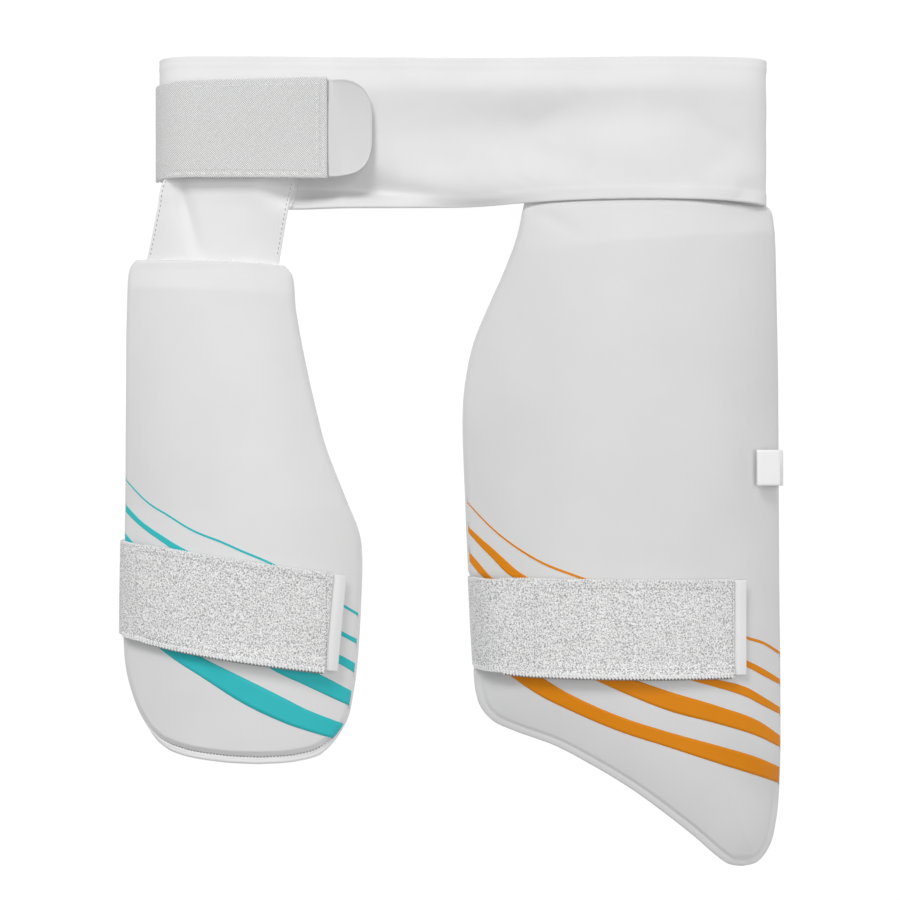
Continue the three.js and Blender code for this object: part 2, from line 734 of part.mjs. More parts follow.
// The hook tape that holds the panel to the belt shows along the panel's right edge.
function hangerHookTape() {
  const bottom = beltLowerEdge(beltLeft) + 1;
  const places = steps(panelTapeTop, bottom, 6).map((y) => {
    const down = (panelTop - y) / (panelTop - panelBottom);
    const right = beltLeft + panelRight(down) * beltWidth + panelTapeShow;
    return steps(beltLeft + beltFoldReach, right, 7).map((x) => [x, y]);
  });
  return sheetOver(places, (x, y) => beltFront(x, y) + tapeOnBelt, hookTapeThickness);
}

// The label leaves the seam at the outer pad's right edge and folds over onto its face.
function sideLabel() {
  const lines = steps(-0.5, 0.5, 2).map((across) => {
    const y = labelCentre + across * labelWidth;
    const edge = outerPad.edgeAt(1, y);
    const height = (x) => outerPad.face(x, y) + labelRise;
    const start = edge - labelLap + 4;
    const seam = outerPad.foamBottom(edge, y) + padEdgeThickness / 2;
    const fold = foldPoints(
      1,
      new THREE.Vector2(start, height(start)),
      slopeOf(height, start, y),
      new THREE.Vector2(edge + labelStandOut, lerp(seam, height(start), 0.5)),
      new THREE.Vector2(edge + labelThickness / 2 + gap, seam),
      5,
    );
    const flat = steps(edge - labelLap - 4, start, 3).slice(0, -1);
    return [
      ...flat.map((x) => new THREE.Vector3(x, y, height(x))),
      ...fold.map(({ x, y: z }) => new THREE.Vector3(x, y, z)),
    ];
  });
  return sheetAbout(lines, labelThickness);
}

const material = (color, roughness) => new THREE.MeshStandardMaterial({ color, roughness, metalness: 0 });
const beltCloth = material(0xe9e9e9, 0.6);
const padCloth = material(0xdcdcdc, 0.5);
const backingCloth = material(0xf0f0f0, 0.8);
const loopWebbing = material(0xdedede, 0.95);
const wovenWebbing = material(0xd2d2d2, 0.9);
const hookTape = material(0xe8e8e8, 0.8);
const tabPlastic = material(0xe2e2e2, 0.4);
const labelCloth = material(0xf2f2f2, 0.7);

const pieces = [
  ["waist_belt", waistBelt(), beltCloth],
  ["hanger_hook_tape", hangerHookTape(), hookTape],
  ["hanger_panel", hangerPanel(), beltCloth],
  ["waist_hook_patch", waistHookPatch(), hookTape],
  ["waist_elastic", waistElastic(), wovenWebbing],
  ["waist_tab", waistTab(), tabPlastic],
  ["inner_pad", padFoam(innerPad), padCloth],
  ["inner_pad_backing", padBacking(innerPad, innerPadFlange), backingCloth],
  ["inner_strap", thighStrap(innerStrap), loopWebbing],
  ["inner_strap_hook_tape", strapHookTape(innerStrap), hookTape],
  ["outer_pad", padFoam(outerPad), padCloth],
  ["outer_pad_backing", padBacking(outerPad, 0), backingCloth],
  ["outer_strap", thighStrap(outerStrap), loopWebbing],
  ["outer_strap_hook_tape", strapHookTape(outerStrap), hookTape],
  ["side_label", sideLabel(), labelCloth],
];

// The origin goes to the middle of the footprint, on the floor.
function thighGuard() {
  const group = new THREE.Group();
  for (const [name, geometry, finish] of pieces) {
    const mesh = new THREE.Mesh(geometry, finish);
    mesh.name = name;
    group.add(mesh);
  }
  const box = new THREE.Box3().setFromObject(group);
  const middle = box.getCenter(new THREE.Vector3());
  group.position.set(-middle.x, -middle.y, -box.min.z);
  return group;
}

export default thighGuard();
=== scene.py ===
import math

import bmesh
import bpy
import numpy as np
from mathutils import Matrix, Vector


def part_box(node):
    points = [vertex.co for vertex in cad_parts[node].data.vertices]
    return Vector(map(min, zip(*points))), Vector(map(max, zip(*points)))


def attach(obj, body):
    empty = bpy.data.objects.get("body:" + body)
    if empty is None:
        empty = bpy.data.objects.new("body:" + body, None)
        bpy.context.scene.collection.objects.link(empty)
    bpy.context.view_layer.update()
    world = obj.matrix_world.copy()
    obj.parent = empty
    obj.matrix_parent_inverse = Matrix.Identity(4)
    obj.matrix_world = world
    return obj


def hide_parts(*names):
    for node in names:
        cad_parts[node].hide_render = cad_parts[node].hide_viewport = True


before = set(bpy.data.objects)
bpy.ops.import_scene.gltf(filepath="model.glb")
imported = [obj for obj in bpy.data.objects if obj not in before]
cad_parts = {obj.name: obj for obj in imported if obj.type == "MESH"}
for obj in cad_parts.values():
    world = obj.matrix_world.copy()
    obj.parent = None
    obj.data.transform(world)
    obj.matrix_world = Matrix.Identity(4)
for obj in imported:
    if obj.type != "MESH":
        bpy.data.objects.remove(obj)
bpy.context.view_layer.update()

MM = 0.001

# Sizes that the solids don't give by their boxes, in millimetres, with the tilt in degrees
BELT_HEIGHT = 92.0
BELT_THICKNESS = 2.4
LOOP_DEPTH = 41.0
BELT_FOLD_REACH = 19.0
BELT_TAIL = 24.0
WEBBING_WIDTH = 60.0
WEBBING_THICKNESS = 1.8
TAPE_THICKNESS = 1.2
WAIST_SIDE_STEP = 2.4
WAIST_ELASTIC_LAP = 109.0
WAIST_ELASTIC_BOTTOM = 17.0
WAIST_ELASTIC_TILT = 0.8
TAB_REACH = 27.5
TAB_TONGUE = 7.4
TAB_THICKNESS = 2.0
TAB_CORNER_POWER = 3.2
PANEL_THICKNESS = 1.6
PANEL_TOP = 66.0
PANEL_TUCK = 10.0
PANEL_TAPE_SHOW = 1.8
PANEL_TAPE_TOP = 64.0
INNER_PAD_DROP = 31.9
BACKING_THICKNESS = 2.0
PAD_EDGE_THICKNESS = 2.6
PAD_WELT = 2.5
STRAP_SIDE_STEP = 2.8
STRAP_TURN = 3.4
STRAP_ANCHOR_INSET = 12.0
STRAP_ANCHOR_RISE = 26.0
LABEL_WIDTH = 22.6
LABEL_LAP = 14.5
LABEL_STAND_OUT = 0.8
LABEL_LEAF_END = 3.2
LABEL_CENTRE = -162.5
GAP = 0.5
COVER_GAP = 0.6
FOAM_GAP = 0.8
COVER_EASE = 0.6
BELT_TURN_BACK = 6.0
BELT_TROUGH = 15.0
BELT_SINK = 7.0
BELT_CORNER_CUT = 12.0
TAB_BOW = 3.6
LABEL_THICKNESS = 0.6
LABEL_LIFT = 1.9
LABEL_LEAF_LIFT = 3.0
LABEL_LEAF_PAST = 3.6
LABEL_LEAF_SLOPE = 0.3
FLANGE_THICKNESS = 0.8
STRIPE_INSET = 1.2

# Meshing: the least rounding of a sheet's border, and the height above which a line is on the front
LEAST_ROUNDING = 0.2
FRONT_FROM = 14
STITCH_SIDES = 6
POINTS_AT_ONCE = 2000
BELT_FOLD_PIECES = (22, 18)
WAIST_FOLD_PIECES = 40
STRAP_FOLD_PIECES = 34
LABEL_FOLD_PIECES = 20

# The photograph's view, straight down on the middle of its frame
PHOTO_MIDDLE = 450.0
PHOTO_PIXEL = 0.64
CAMERA_HEIGHT = 1250.0
CAMERA_X = -8.3
CAMERA_Y = -151.4


def box_mm(node):
    low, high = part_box(node)
    return np.array(low) / MM, np.array(high) / MM


belt_low, belt_high = box_mm("waist_belt")
ORIGIN = np.array([(belt_low[0] + belt_high[0]) / 2, belt_high[1] - BELT_HEIGHT, 0.0])
BELT_WIDTH = belt_high[0] - belt_low[0]
BELT_LEFT = -BELT_WIDTH / 2
BELT_RIGHT = BELT_WIDTH / 2

# The belt's front, left to right, as shares of its width, of the loop's depth and of its height
BELT_SECTIONS = (
    dict(along=0.0, upper=0.975, lower=0.975, hem=-0.014),
    dict(along=0.16, upper=0.99, lower=0.97, hem=-0.014),
    dict(along=0.31, upper=0.93, lower=0.86, hem=-0.006),
    dict(along=0.47, upper=0.88, lower=0.71, hem=0.004),
    dict(along=0.6, upper=0.89, lower=0.7, hem=0.036),
    dict(along=0.71, upper=0.95, lower=0.93, hem=0.046),
    dict(along=0.805, upper=1.0, lower=1.02, hem=0.048),
    dict(along=0.9, upper=0.985, lower=0.965, hem=0.044),
    dict(along=0.95, upper=0.935, lower=0.86, hem=0.036),
    dict(along=1.0, upper=0.82, lower=0.7, hem=0.021),
)
BELT_FOLDS = (
    dict(along=0.37, up=0.1, reach=0.34, spread=0.065, turn=-2, rise=-0.12),
    dict(along=0.45, up=0.12, reach=0.95, spread=0.17, turn=3, rise=0.075),
    dict(along=0.52, up=0.0, reach=0.3, spread=0.07, turn=0, rise=-0.12),
    dict(along=0.66, up=0.5, reach=1.2, spread=0.2, turn=2, rise=-0.1),
    dict(along=0.62, up=0.8, reach=1.5, spread=0.13, turn=0, rise=0.05),
    dict(along=0.84, up=0.5, reach=0.5, spread=0.13, turn=-10, rise=-0.035),
    dict(along=0.9, up=0.34, reach=0.5, spread=0.17, turn=8, rise=-0.085),
    dict(along=0.968, up=0.19, reach=0.2, spread=0.05, turn=60, rise=-0.05),
)
PANEL_SECTIONS = (
    dict(down=0.0, left=0.044, right=0.244),
    dict(down=0.24, left=0.044, right=0.234),
    dict(down=0.4, left=0.03, right=0.226),
    dict(down=0.47, left=0.012, right=0.2225),
    dict(down=0.62, left=0.001, right=0.214),
    dict(down=0.8, left=-0.0115, right=0.2035),
    dict(down=0.92, left=-0.0205, right=0.197),
    dict(down=1.0, left=-0.025, right=0.193),
)
PANEL_VALLEY = dict(left=0.045, down=0.6, reach=0.3, spread=0.055, turn=-76, rise=-0.085)

# The pads' outlines from the upper edge to the lowest point, as shares (down, across) of length and width
OUTER_LEFT_SIDE = (
    (0.0, 0.215), (0.0216, 0.193), (0.0715, 0.169), (0.1236, 0.128), (0.179, 0.0757), (0.2284, 0.0336),
    (0.2816, 0.0094), (0.3318, 0.0), (0.4654, 0.0079), (0.5458, 0.0148), (0.7088, 0.0326),
    (0.7465, 0.0406), (0.7686, 0.0564), (0.788, 0.0959), (0.801, 0.166), (0.8188, 0.283), (0.8469, 0.4),
    (0.88, 0.516), (0.9217, 0.635), (0.9529, 0.7156), (0.981, 0.7814), (0.9951, 0.823), (1.0, 0.8655),
)
OUTER_RIGHT_SIDE = (
    (0.0, 0.89), (0.012, 0.902), (0.0255, 0.909), (0.0285, 0.948), (0.036, 0.9625), (0.0595, 0.9715),
    (0.0839, 0.9755), (0.1662, 0.981), (0.2987, 0.989), (0.4485, 0.9915), (0.6, 0.9935),
    (0.7367, 0.997), (0.8889, 0.9945), (0.9376, 0.9837), (0.9742, 0.9614), (0.9965, 0.9169), (1.0, 0.8655),
)
INNER_LEFT_SIDE = (
    (0.0, 0.07), (0.016, 0.042), (0.1, 0.0265), (0.2454, 0.0192), (0.4258, 0.0113), (0.5598, 0.0046),
    (0.7, 0.0), (0.8013, 0.0033), (0.8596, 0.0278), (0.9159, 0.0761), (0.9623, 0.1549),
    (0.9834, 0.2594), (0.9958, 0.4322), (1.0, 0.5844),
)
INNER_RIGHT_SIDE = (
    (0.012, 0.685), (0.0282, 0.7128), (0.1014, 0.73), (0.1913, 0.763), (0.2885, 0.8067),
    (0.3717, 0.8504), (0.4767, 0.9312), (0.5474, 0.9874), (0.5893, 1.0), (0.6932, 0.9967),
    (0.818, 0.9808), (0.8714, 0.9669), (0.9367, 0.9332), (0.984, 0.8339), (0.9971, 0.726),
    (1.0, 0.5844),
)

# Printed stripes as they lie in the photograph: pixels (across, upper edge, lower edge)
TEAL_STRIPES = (
    (
        (124, 476.6, 478), (126.6, 479.8, 481.4), (147, 500.9, 502.8), (167.5, 514, 516.1),
        (192, 529, 531.2), (222.7, 541.4, 543.7), (243, 550.4, 552.8), (270.8, 562.3, 564.8),
        (344.8, 605, 607.8), (362, 615, 618.2),
    ),
    (
        (124, 502.4, 509.8), (126.6, 505.4, 512.8), (140.9, 520.5, 526.5), (161.3, 535, 541.5),
        (181.8, 547.5, 555), (240, 576, 583), (300, 607, 612.5), (341.3, 630.8, 635.5), (362, 641.5, 646.5),
    ),
    (
        (124, 531.5, 544), (132.7, 541.8, 554.5), (161, 567, 578), (190, 586, 597), (260, 620, 630),
        (338.9, 654.3, 663.5), (361, 666.5, 676.5),
    ),
    (
        (124, 569, 579), (170, 603, 616), (220, 630, 645), (259.5, 647, 661.4), (273.8, 653.5, 670.6),
        (304.5, 667, 685), (325, 676.8, 694.5), (356, 693.3, 708.5),
    ),
    (
        (124, 602, 610), (154.2, 628, 643.5), (171.6, 640, 657.6), (202.2, 657.5, 677.4),
        (243, 677.5, 703.4), (284, 698, 722.8), (304.5, 708.5, 730), (336.2, 721, 739.1), (350, 726, 743),
    ),
)
ORANGE_STRIPES = (
    (
        (463, 496.8, 498.2), (465.5, 499.6, 501.2), (478.2, 513.4, 515.3), (493.5, 528.6, 530.7),
        (516.4, 546.2, 548.5), (541.9, 561.4, 563.9), (578.9, 575.8, 578.4), (749, 637, 639.9),
        (763.6, 641.6, 644.5), (782, 652.8, 656.1),
    ),
    (
        (463, 521.5, 527.2), (466.2, 524.5, 530.5), (480, 537.5, 545.8), (494, 549.5, 560),
        (506.6, 561, 573), (518, 571, 580), (580, 602, 610), (660, 631, 638.5), (749, 661.4, 668),
        (763, 668.5, 675.5), (782, 680.2, 685.5),
    ),
    (
        (463, 545, 553), (479, 563, 573.5), (489.4, 575.6, 586), (520, 603, 614), (580, 633, 643),
        (650, 657, 667), (694.8, 671.5, 681.3), (710, 677.5, 685.5), (745.7, 686.9, 696.6),
        (762, 696, 705), (782, 708.5, 715),
    ),
    (
        (463, 577, 587), (500, 615, 628), (540, 643, 656), (586.5, 662, 676.2), (628.5, 677.5, 695),
        (669.3, 691.5, 711), (720.3, 706.8, 724.5), (758.5, 720.8, 736.5), (782, 736.8, 748),
    ),
    (
        (463, 619, 631), (485, 640, 654), (506.2, 655, 672.4), (538, 674.9, 694.5), (567.4, 692.7, 709.3),
        (618.3, 715.7, 731), (669.3, 732.2, 747.5), (720.3, 746.2, 764.1), (758.5, 757.7, 776),
        (782, 768, 784),
    ),
)


def lerp(a, b, t):
    return a + (b - a) * t


def smoothstep(x, low, high):
    t = np.clip((x - low) / (high - low), 0, 1)
    return t * t * (3 - 2 * t)


def rounded(distance, radius):
    """A quarter round, from 0 at an edge to 1 at its radius."""
    return np.sqrt(1 - (1 - np.clip(distance / radius, 0, 1)) ** 2)


def groove(distance, place, depth, half_width):
    """A sewn line pressed into cloth at a distance from its edge."""
    return -depth * np.exp(-(((distance - place) / half_width) ** 2))


def through(positions, values):
    """A smooth function through points, with the slopes that its neighbours give and loose ends."""
    xs = np.asarray(positions, float)
    ys = np.asarray(values, float)

    def evaluate(x):
        x = np.asarray(x, float)
        i = np.clip(np.searchsorted(xs, x, side="right") - 1, 0, len(xs) - 2)
        step = xs[i + 1] - xs[i]
        before = np.where(i > 0, xs[np.maximum(i - 1, 0)], xs[1])
        after = np.where(i < len(xs) - 2, xs[np.minimum(i + 2, len(xs) - 1)], xs[-2])
        y_before = np.where(i > 0, ys[np.maximum(i - 1, 0)], ys[1])
        y_after = np.where(i < len(xs) - 2, ys[np.minimum(i + 2, len(xs) - 1)], ys[-2])
        w_before = 0.5 * step / (xs[i] - before)
        w_after = 0.5 * step / (after - xs[i + 1])
        p = (x - xs[i]) / step
        p2 = p * p
        p3 = p2 * p
        return (
            (-w_before * p3 + 2 * w_before * p2 - w_before * p) * y_before
            + ((1 + w_before) * p3 + (-1.5 - 2 * w_before) * p2 + (w_before - 0.5) * p + 1) * ys[i]
            + ((-1 - w_after) * p3 + (1.5 + w_after) * p2 + 0.5 * p) * ys[i + 1]
            + (w_after * p3 - w_after * p2) * y_after
        )

    return evaluate


def column(rows, position, name):
    return through([row[position] for row in rows], [row[name] for row in rows])


def folds_at(folds, x, y):
    total = np.zeros(np.broadcast(x, y).shape)
    for fold in folds:
        turn = math.radians(fold["turn"])
        dx = x - fold["x"]
        dy = y - fold["y"]
        along = (dx * math.cos(turn) + dy * math.sin(turn)) / fold["reach"]
        across = (dy * math.cos(turn) - dx * math.sin(turn)) / fold["spread"]
        total = total + fold["rise"] * np.exp(-along * along - across * across)
    return total


def grain(x, y, pitch, seed):
    """Smooth random relief from -1 to 1 with features about a pitch wide."""
    lattice = np.random.default_rng(seed).uniform(-1, 1, (256, 256))
    gx = np.asarray(x, float) / pitch
    gy = np.asarray(y, float) / pitch
    ix = np.floor(gx).astype(int)
    iy = np.floor(gy).astype(int)
    fx = gx - ix
    fy = gy - iy
    fx = fx * fx * (3 - 2 * fx)
    fy = fy * fy * (3 - 2 * fy)
    at = lambda i, j: lattice[i % 256, j % 256]
    top = lerp(at(ix, iy), at(ix + 1, iy), fx)
    bottom = lerp(at(ix, iy + 1), at(ix + 1, iy + 1), fx)
    return lerp(top, bottom, fy)


def bezier(a, b, c, d, count):
    t = np.linspace(0, 1, count + 1)[:, None]
    return (1 - t) ** 3 * a + 3 * (1 - t) ** 2 * t * b + 3 * (1 - t) * t * t * c + t ** 3 * d


def fold_points(side, start, slope, outermost, finish, pieces):
    """A fold in the XZ plane from start, along its slope, past outermost and level into finish."""
    hold = 0.55
    lead = hold * abs(outermost[0] - start[0])
    first = bezier(
        np.array(start),
        np.array([start[0] + side * lead, start[1] + side * lead * slope]),
        np.array([outermost[0], lerp(outermost[1], start[1], hold)]),
        np.array(outermost),
        pieces,
    )
    if finish is None:
        return first
    second = bezier(
        np.array(outermost),
        np.array([outermost[0], lerp(outermost[1], finish[1], hold)]),
        np.array([lerp(finish[0], outermost[0], hold), finish[1]]),
        np.array(finish),
        pieces,
    )
    return np.vstack([first, second[1:]])


def even(points, count):
    """A line of points resampled evenly along its length."""
    points = np.asarray(points, float)
    run = np.concatenate([[0], np.cumsum(np.linalg.norm(np.diff(points, axis=0), axis=1))])
    at = np.linspace(0, run[-1], count)
    return np.stack([np.interp(at, run, points[:, k]) for k in range(points.shape[1])], axis=1)


def spread(first, last, count, edge=1.0):
    """Positions from first to last with a few more close to both ends."""
    near = np.array([0, 0.12, 0.4, 0.9]) * edge
    between = np.linspace(first + 1.9 * edge, last - 1.9 * edge, count)
    return np.concatenate([first + near, between, last - near[::-1]])


def run_lengths(grid, axis):
    steps = np.linalg.norm(np.diff(grid, axis=axis), axis=2)
    shape = list(steps.shape)
    shape[axis] = 1
    return np.concatenate([np.zeros(shape), np.cumsum(steps, axis=axis)], axis=axis)


def joined(*parts):
    """One line of points from parts (x, y, z), where a lone number holds all along its part."""
    return np.vstack([np.column_stack(np.broadcast_arrays(*part)) for part in parts])


def grid_normals(grid):
    down = np.gradient(grid, axis=0)
    across = np.gradient(grid, axis=1)
    normal = np.cross(down, across)
    return normal / np.maximum(np.linalg.norm(normal, axis=2, keepdims=True), 1e-9)


def grid_faces(rows, columns, offset, flip):
    i, j = np.meshgrid(np.arange(rows - 1), np.arange(columns - 1), indexing="ij")
    a = offset + i * columns + j
    quads = np.stack([a, a + columns, a + columns + 1, a + 1], axis=-1).reshape(-1, 4)
    return quads[:, ::-1] if flip else quads


def border_faces(rows, columns, offset):
    ring = (
        [(i, 0) for i in range(rows - 1)]
        + [(rows - 1, j) for j in range(columns - 1)]
        + [(i, columns - 1) for i in range(rows - 1, 0, -1)]
        + [(0, j) for j in range(columns - 1, 0, -1)]
    )
    here = np.array([i * columns + j for i, j in ring])
    following = np.roll(here, -1)
    return np.stack([offset + here, offset + following, following, here], axis=-1)


def add_mesh(name, vertices, faces, material, coordinates=None):
    """A mesh piece in metres and in the frame's own place, riding on the one body."""
    mesh = bpy.data.meshes.new(name)
    mesh.from_pydata(((np.asarray(vertices) + ORIGIN) * MM).tolist(), [], faces)
    if coordinates is not None:
        layer = mesh.uv_layers.new(name="weave")
        corners = np.empty(len(mesh.loops), dtype=np.int64)
        mesh.loops.foreach_get("vertex_index", corners)
        layer.data.foreach_set("uv", (coordinates[corners] * MM).ravel())
    mesh.polygons.foreach_set("use_smooth", [True] * len(mesh.polygons))
    mesh.materials.append(material)
    mesh.update()
    piece = bpy.data.objects.new(name, mesh)
    bpy.context.scene.collection.objects.link(piece)
    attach(piece, "root")
    return piece


def tidy(piece, distance=1e-6):
    """Merges what lies together and turns the faces outwards."""
    shape = bmesh.new()
    shape.from_mesh(piece.data)
    bmesh.ops.remove_doubles(shape, verts=shape.verts, dist=distance)
    bmesh.ops.dissolve_degenerate(shape, edges=shape.edges, dist=distance)
    bmesh.ops.recalc_face_normals(shape, faces=shape.faces)
    shape.to_mesh(piece.data)
    shape.free()
    return piece


def two_sided(name, front, back, material, coordinates):
    """A closed piece between two equal grids."""
    rows, columns = front.shape[:2]
    count = rows * columns
    vertices = np.vstack([front.reshape(-1, 3), back.reshape(-1, 3)])
    faces = np.vstack(
        [
            grid_faces(rows, columns, 0, False),
            grid_faces(rows, columns, count, True),
            border_faces(rows, columns, count),
        ]
    )
    both = np.vstack([coordinates.reshape(-1, 2)] * 2)
    return tidy(add_mesh(name, vertices, faces.tolist(), material, both))


def shell(name, middle, thickness, material, relief=None):
    """A sheet of cloth about a grid, with rounded borders. relief(u, v) raises its front."""
    normal = grid_normals(middle)
    v = run_lengths(middle, 0)
    u = run_lengths(middle, 1)
    border = np.minimum(np.minimum(u, u[:, -1:] - u), np.minimum(v, v[-1:, :] - v))
    reach = max(thickness / 2, LEAST_ROUNDING)
    half = thickness / 2 * (0.25 + 0.75 * rounded(border, reach))
    lift = 0 if relief is None else relief(u, v)
    front = middle + normal * (half + lift)[..., None]
    back = middle - normal * half[..., None]
    return two_sided(name, front, back, material, np.stack([u, v], axis=-1))


def stitches(name, runs, material, pitch=2.6, length=1.9, radius=0.26, sink=0.12, slant=0):
    """Runs of small stitches. A run is (points, normals) along its seam."""
    sides = STITCH_SIDES
    ring = [(math.cos(a), math.sin(a)) for a in np.linspace(0, 2 * math.pi, sides + 1)[:-1]]
    turn = math.radians(slant)
    vertices = []
    faces = []
    for points, normals in runs:
        lengths = np.concatenate([[0], np.cumsum(np.linalg.norm(np.diff(points, axis=0), axis=1))])
        at = np.arange(pitch * 0.6, lengths[-1] - pitch * 0.4, pitch)
        place = np.stack([np.interp(at, lengths, points[:, k]) for k in range(3)], axis=1)
        ahead = np.stack([np.interp(at + 0.5, lengths, points[:, k]) for k in range(3)], axis=1)
        up = np.stack([np.interp(at, lengths, normals[:, k]) for k in range(3)], axis=1)
        for centre, forward, normal in zip(place, ahead, up):
            along = forward - centre
            along /= max(np.linalg.norm(along), 1e-9)
            normal = normal - along * np.dot(normal, along)
            normal /= max(np.linalg.norm(normal), 1e-9)
            side = np.cross(along, normal)
            along, side = (
                along * math.cos(turn) + side * math.sin(turn),
                side * math.cos(turn) - along * math.sin(turn),
            )
            first = len(vertices)
            centre = centre + normal * (radius * 0.35)
            vertices.append(centre - along * length / 2 - normal * (radius + sink))
            for reach in (-0.3, 0.3):
                for c, s in ring:
                    vertices.append(centre + along * length * reach + (side * c + normal * s) * radius)
            vertices.append(centre + along * length / 2 - normal * (radius + sink))
            near = first + 1
            far = near + sides
            last = far + sides
            for k in range(sides):
                n = (k + 1) % sides
                faces.append((first, near + n, near + k))
                faces.append((near + k, near + n, far + n, far + k))
                faces.append((last, far + k, far + n))
    return add_mesh(name, vertices, faces, material)


def upright(count):
    """Normals that point straight up."""
    return np.tile([0.0, 0.0, 1.0], (count, 1))


def seam_along(line, share, start, stop, lift):
    """Points and normals of a sewn row on the front of a sheet, from one x to another."""
    here = line(share)
    near = line(share + 0.004)
    normal = np.cross(np.gradient(here, axis=0), near - here)
    normal *= np.sign(normal[:, 2:3] + 1e-9)
    normal /= np.maximum(np.linalg.norm(normal, axis=1, keepdims=True), 1e-9)
    chosen = (here[:, 0] > start) & (here[:, 0] < stop) & (here[:, 2] > FRONT_FROM)
    return here[chosen] + normal[chosen] * lift, normal[chosen]


def seam_across(line, x, low, high, lift):
    """Points and normals of a sewn row across a sheet at one x, from one share to another."""
    points = []
    for share in np.linspace(low, high, 24):
        here = line(share)
        here = here[here[:, 2] > FRONT_FROM]
        here = here[np.argsort(here[:, 0])]
        points.append([x, np.interp(x, here[:, 0], here[:, 1]), np.interp(x, here[:, 0], here[:, 2]) + lift])
    return np.array(points), upright(len(points))


# Materials


def new_material(name, color, roughness, sheen=0.0, specular=0.35):
    material = bpy.data.materials.new(name)
    material.use_nodes = True
    shader = material.node_tree.nodes["Principled BSDF"]
    shader.inputs["Base Color"].default_value = (*color, 1)
    shader.inputs["Roughness"].default_value = roughness
    shader.inputs["Specular IOR Level"].default_value = specular
    shader.inputs["Sheen Weight"].default_value = sheen
    shader.inputs["Sheen Roughness"].default_value = 0.4
    return material


def node(material, kind, **settings):
    made = material.node_tree.nodes.new(kind)
    for key, value in settings.items():
        if key in made.inputs.keys():
            made.inputs[key].default_value = value
        else:
            setattr(made, key, value)
    return made


def link(material, out_node, out_name, in_node, in_name):
    material.node_tree.links.new(out_node.outputs[out_name], in_node.inputs[in_name])


def tinted(material, factor_node, factor_name, dark, light, low=0.3, high=0.7):
    """Base colour between two tones, by a factor."""
    ramp = node(material, "ShaderNodeValToRGB")
    ramp.color_ramp.elements[0].position = low
    ramp.color_ramp.elements[1].position = high
    ramp.color_ramp.elements[0].color = (*dark, 1)
    ramp.color_ramp.elements[1].color = (*light, 1)
    link(material, factor_node, factor_name, ramp, "Fac")
    link(material, ramp, "Color", material.node_tree.nodes["Principled BSDF"], "Base Color")
    return ramp


def bumped(material, height_node, height_name, strength, distance):
    bump = node(material, "ShaderNodeBump", Strength=strength, Distance=distance)
    link(material, height_node, height_name, bump, "Height")
    link(material, bump, "Normal", material.node_tree.nodes["Principled BSDF"], "Normal")


def grey(value):
    return (value, value, value)


def smooth_cloth(name, dark, light, roughness, texture=0.5):
    """Laminated cloth: nearly smooth, with a faint knit and soft cloudy tone."""
    material = new_material(name, light, roughness, specular=0.2)
    place = node(material, "ShaderNodeTexCoord")
    clouds = node(material, "ShaderNodeTexNoise", Scale=22.0, Detail=3.0, Roughness=0.55)
    knit = node(material, "ShaderNodeTexNoise", Scale=1500.0, Detail=2.0, Roughness=0.6)
    link(material, place, "Object", clouds, "Vector")
    link(material, place, "Object", knit, "Vector")
    tinted(material, clouds, "Fac", dark, light)
    bumped(material, knit, "Fac", texture, 0.0001)
    return material


def terry_cloth(name, pit, dark, light):
    """Unbroken loops: bright crests between small dark pits. The pits' darkness is painted shade and follows
    the same noise as the bump.
    """
    material = new_material(name, light, 0.95, specular=0.15)
    place = node(material, "ShaderNodeTexCoord")
    loops = node(material, "ShaderNodeTexNoise", Scale=1180.0, Detail=2.0, Roughness=0.6, Distortion=0.5)
    link(material, place, "Object", loops, "Vector")
    ramp = tinted(material, loops, "Fac", dark, light, 0.43, 0.57)
    first = ramp.color_ramp.elements.new(0.35)
    first.color = (*pit, 1)
    bumped(material, loops, "Fac", 0.85, 0.0009)
    return material


def woven_cloth(name, dark, light):
    """Elastic webbing: two fine slanting ribs that cross, with painted shade darkening the cloth where the
    ribs dip.
    """
    material = new_material(name, light, 0.9, specular=0.15)
    place = node(material, "ShaderNodeUVMap", uv_map="weave")
    both = node(material, "ShaderNodeMath", operation="MULTIPLY")
    for slot, turn in enumerate((52, -38)):
        turned = node(material, "ShaderNodeMapping")
        turned.inputs["Rotation"].default_value = (0, 0, math.radians(turn))
        ribs = node(material, "ShaderNodeTexWave", bands_direction="X", Scale=330.0, Distortion=2.2)
        ribs.inputs["Detail Scale"].default_value = 2.0
        link(material, place, "UV", turned, "Vector")
        link(material, turned, "Vector", ribs, "Vector")
        material.node_tree.links.new(ribs.outputs["Fac"], both.inputs[slot])
    # Painted shade: the tone darkens where the ribs dip, following the bump
    tinted(material, both, "Value", dark, light, 0.02, 0.44)
    bumped(material, both, "Value", 0.6, 0.0003)
    return material


BELT_CLOTH = smooth_cloth("belt_cloth", grey(0.735), grey(0.775), 0.6, 0.3)
# Painted light: the panel's cloth is made brighter than the belt's cloth to offset the shade on its slope
PANEL_CLOTH_PAINTED_LIGHT = smooth_cloth("panel_cloth", grey(0.83), grey(0.86), 0.6, 0.3)
# White binding, made brighter still to offset the pad's shadow on it: partly its own white, partly painted
# light
FLANGE_CLOTH_PAINTED_LIGHT = smooth_cloth("flange_cloth", grey(0.86), grey(0.90), 0.8, 0.5)
PAD_CLOTH = smooth_cloth("pad_cloth", grey(0.695), grey(0.72), 0.6, 0.35)
INNER_PAD_CLOTH = smooth_cloth("inner_pad_cloth", grey(0.74), grey(0.765), 0.6, 0.35)
LINING_CLOTH = smooth_cloth("lining_cloth", grey(0.82), grey(0.87), 0.85, 0.9)
